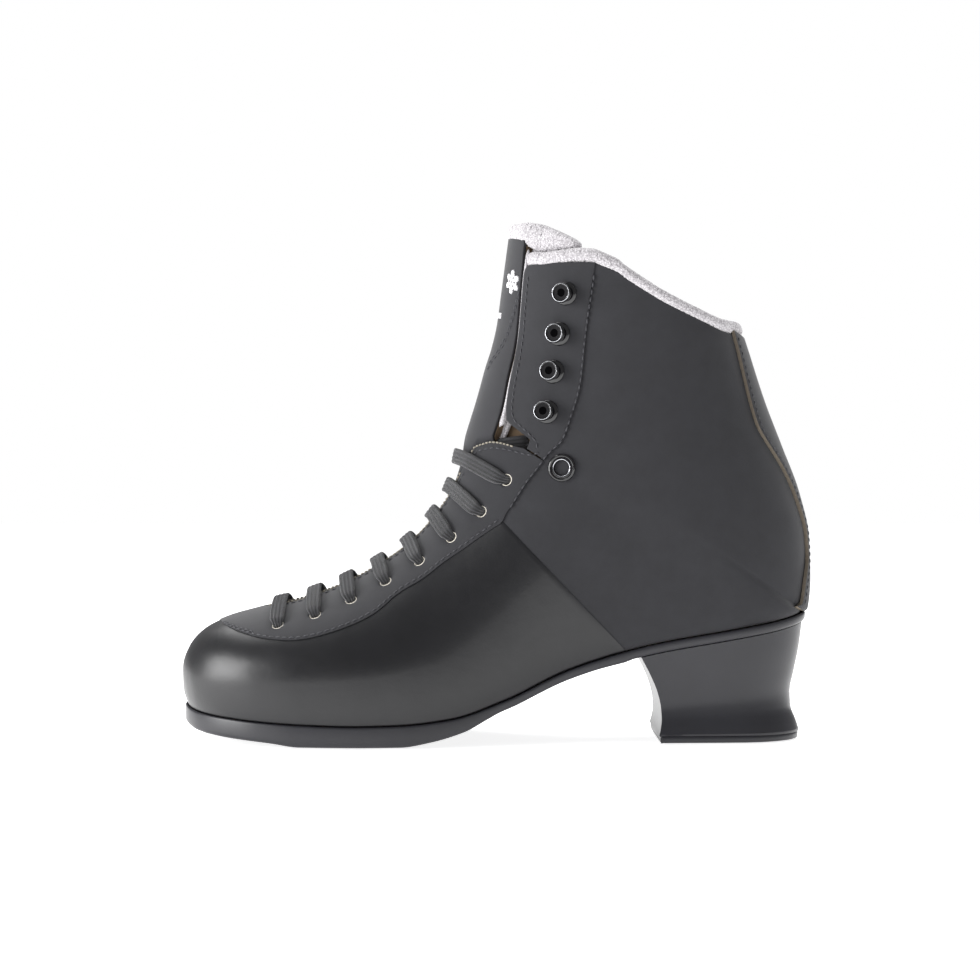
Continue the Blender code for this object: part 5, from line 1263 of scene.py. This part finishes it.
def seamStitching():
    # lines of (section, girth) beside the seams and edges they hold
    wrapLine = besideSeam("wrap", 4.95, 12.6, 40, -0.012)
    toeLine = besideSeam("wrap", 5.0, 6.0, 10, -0.026)
    facingLine = besideSeam("facing", 13.1, 23.4, 40, -0.006)
    frontLine = [(15.62, 0.372), (15.95, 0.366), (16.25, 0.330), (16.45, 0.285), (17.0, 0.262), (18.0, 0.250),
                 (19.5, 0.243), (21.0, 0.243), (22.4, 0.246)]
    notchLine = [(13.2, 0.150), (13.55, 0.172), (13.85, 0.186), (14.1, 0.216), (14.4, 0.250), (14.66, 0.290),
                 (14.85, 0.325), (15.1, 0.362), (15.45, 0.380)]
    throatLine = besideSeam("throat", 6.7, 12.9, 30, 0.028)
    stay, facing = upper["stayDepth"], upper["facingDepth"]
    lines = []
    for side in bothSides:
        lines += [(line, side, stay) for line in (wrapLine, toeLine, notchLine, throatLine)]
        lines += [(line, side, facing) for line in (facingLine, frontLine)]
    stitchLines("upperStitching", lines)
    notchTrim = [(13.15, 0.128), (13.56, 0.156), (13.88, 0.164), (14.27, 0.202), (14.59, 0.234),
                 (14.84, 0.274), (15.02, 0.312)]
    trims = [(line, side, stay - 0.15 * mm) for side in bothSides
             for line in (besideSeam("throat", 6.3, 12.9, 40, 0.004), notchTrim)]
    stitchLines("throatOverlock", trims, finish="overlock", length=1.5 * mm, pitch=1.9 * mm, radius=0.42 * mm,
                sink=0.3 * mm)
    backLine = besideSeam("backstay", 17.1, 23.3, 30, 0.012)
    stitchLines("backstayStitching", [(backLine, side, upper["backstayDepth"]) for side in bothSides])
    diagonal = np.array(((17.95, 0.068), (19.31, 0.145), (21.28, 0.200)))
    rows = [(diagonal + (move, 0.0), side, 0.0) for side in bothSides for move in (0.0, 0.28)]
    stitchLines("tongueStitching", rows, "tongue")


seamStitching()


# generic snow crystals and a bar, embroidered on the tongue
crystal = {"section": 21.85, "girth": 0.148, "size": 5.6 * mm, "thread": 0.30 * mm, "shift": 0.32 * mm,
           "alongSection": 10.6 * mm, "acrossGirth": 109 * mm, "barSection": 20.3}


def crystalLines():
    # six arms, each with two pairs of branches, as unit lines from start to end
    starts, ends = [], []
    for arm in range(6):
        turn = np.pi / 3 * arm
        way = np.array((np.sin(turn), np.cos(turn)))
        starts += [way * 0.06, way * 0.5]
        ends += [way * 0.5, way * 0.94]
        for base, reach in ((0.42, 0.30), (0.68, 0.24)):
            for lean in (-1, 1):
                branch = turn + lean * np.pi / 3
                starts.append(way * base)
                ends.append(way * base + reach * np.array((np.sin(branch), np.cos(branch))))
    return np.array(starts) * crystal["size"], np.array(ends) * crystal["size"]


def tongueEmbroidery():
    # two threads side by side along each line
    starts, ends = crystalLines()
    size = np.array((crystal["acrossGirth"], crystal["alongSection"]))
    middle = np.array((crystal["girth"], crystal["section"]))
    lines = [(middle + a / size, middle + b / size) for a, b in zip(starts, ends)]
    barStarts = [np.array((girth, crystal["barSection"] + 0.06 * k)) for k in range(3)
                 for girth in (0.012, 0.036, 0.060)]
    lines += [(barStart, barStart + (0.020, 0.0)) for barStart in barStarts]
    points, faces, start = [], [], 0
    for side in bothSides:
        for a, b in lines:
            first, last = (onLast(np.array(e[1]), np.array(e[0]), side) for e in (a, b))
            girth, section = (a + b) / 2
            normal = lastNormal(np.array([section]), np.array([girth]), np.array([side]))
            way = unit((last - first)[None])
            for shift in (-crystal["shift"], crystal["shift"]):
                centre = (first + last)[None] / 2 + np.cross(normal, way) * shift
                length = np.linalg.norm(last - first) * 1.05
                some, quads = threadStitches(centre, way, normal, length, crystal["thread"], 0.0)
                points.append(some)
                faces.append(quads + start)
                start += len(some)
    mesh = meshFrom("tongueEmbroidery", np.concatenate(points), np.concatenate(faces), merge=0)
    present(newObject("tongueEmbroidery", mesh, ("whiteThread",), 70), "tongue", "terry")


tongueEmbroidery()
print("stitching made")


# CAD pieces that stay as they are take these finishes
keptFinishes = {"insole_board": "board", "shank": "springSteel", "toe_puff": "board", "heel_counter": "board",
                "quarter_foam_inner": "foam", "quarter_foam_outer": "foam", "lace_tie_inner": "elastic",
                "lace_tie_outer": "elastic", "aglet_inner": "aglet", "aglet_outer": "aglet"}
for nodeName, finish in keptFinishes.items():
    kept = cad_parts[nodeName]
    for place in range(len(kept.material_slots)):
        kept.material_slots[place].material = materials[finish]


# lights: name, place, target, size, power
studio = {"floor": "#fbfbfb", "reach": 6.0, "drop": 0.6 * mm, "floorGlow": 0.85, "world": "#ffffff",
          "worldStrength": 0.30, "backdropStrength": 1.0,
          "lights": (("overhead", (0.0, 0.55, 1.35), (0, 0, 0.08), (2.0, 1.3), 30),
                     ("leftSide", (-1.35, -0.45, 0.30), (-0.12, 0, 0.04), (0.8, 0.9), 22))}


def addLight(name, place, target, size, power):
    light = bpy.data.lights.new(name, "AREA")
    light.shape, light.size, light.size_y, light.energy = "RECTANGLE", size[0], size[1], power
    made = bpy.data.objects.new(name, light)
    made.location = place
    made.rotation_euler = (Vector(target) - Vector(place)).to_track_quat("-Z", "Y").to_euler()
    bpy.context.scene.collection.objects.link(made)


def makeStudio():
    mesh = bpy.data.meshes.new("studioFloor")
    reach = studio["reach"]
    corners = [(-reach, -reach, 0), (reach, -reach, 0), (reach, reach, 0), (-reach, reach, 0)]
    mesh.from_pydata(corners, [], [(0, 1, 2, 3)])
    made, tree, shader = newMaterial("studioFloorPaper", studio["floor"], 0.9, Specular_IOR_Level=0.1,
                                     Emission_Strength=studio["floorGlow"])
    shader.inputs["Emission Color"].default_value = hexColour(studio["floor"])
    mesh.materials.append(made)
    floor = bpy.data.objects.new("studioFloor", mesh)
    floor.location.z = -studio["drop"]
    bpy.context.scene.collection.objects.link(floor)
    world = bpy.data.worlds.new("studio")
    bpy.context.scene.world = world
    world.use_nodes = True
    tree = world.node_tree
    soft = tree.nodes["Background"]
    soft.inputs["Color"].default_value = hexColour(studio["world"])
    soft.inputs["Strength"].default_value = studio["worldStrength"]
    backdrop = addNode(tree, "ShaderNodeBackground",
                       {"Color": hexColour(studio["world"]), "Strength": studio["backdropStrength"]})
    seen = addNode(tree, "ShaderNodeLightPath")
    mixed = addNode(tree, "ShaderNodeMixShader", {},
                    {0: (seen, "Is Camera Ray"), 1: (soft, 0), 2: (backdrop, 0)})
    tree.links.new(mixed.outputs[0], tree.nodes["World Output"].inputs["Surface"])
    for settings in studio["lights"]:
        addLight(*settings)
    bpy.context.scene.view_settings.view_transform = "Standard"


makeStudio()
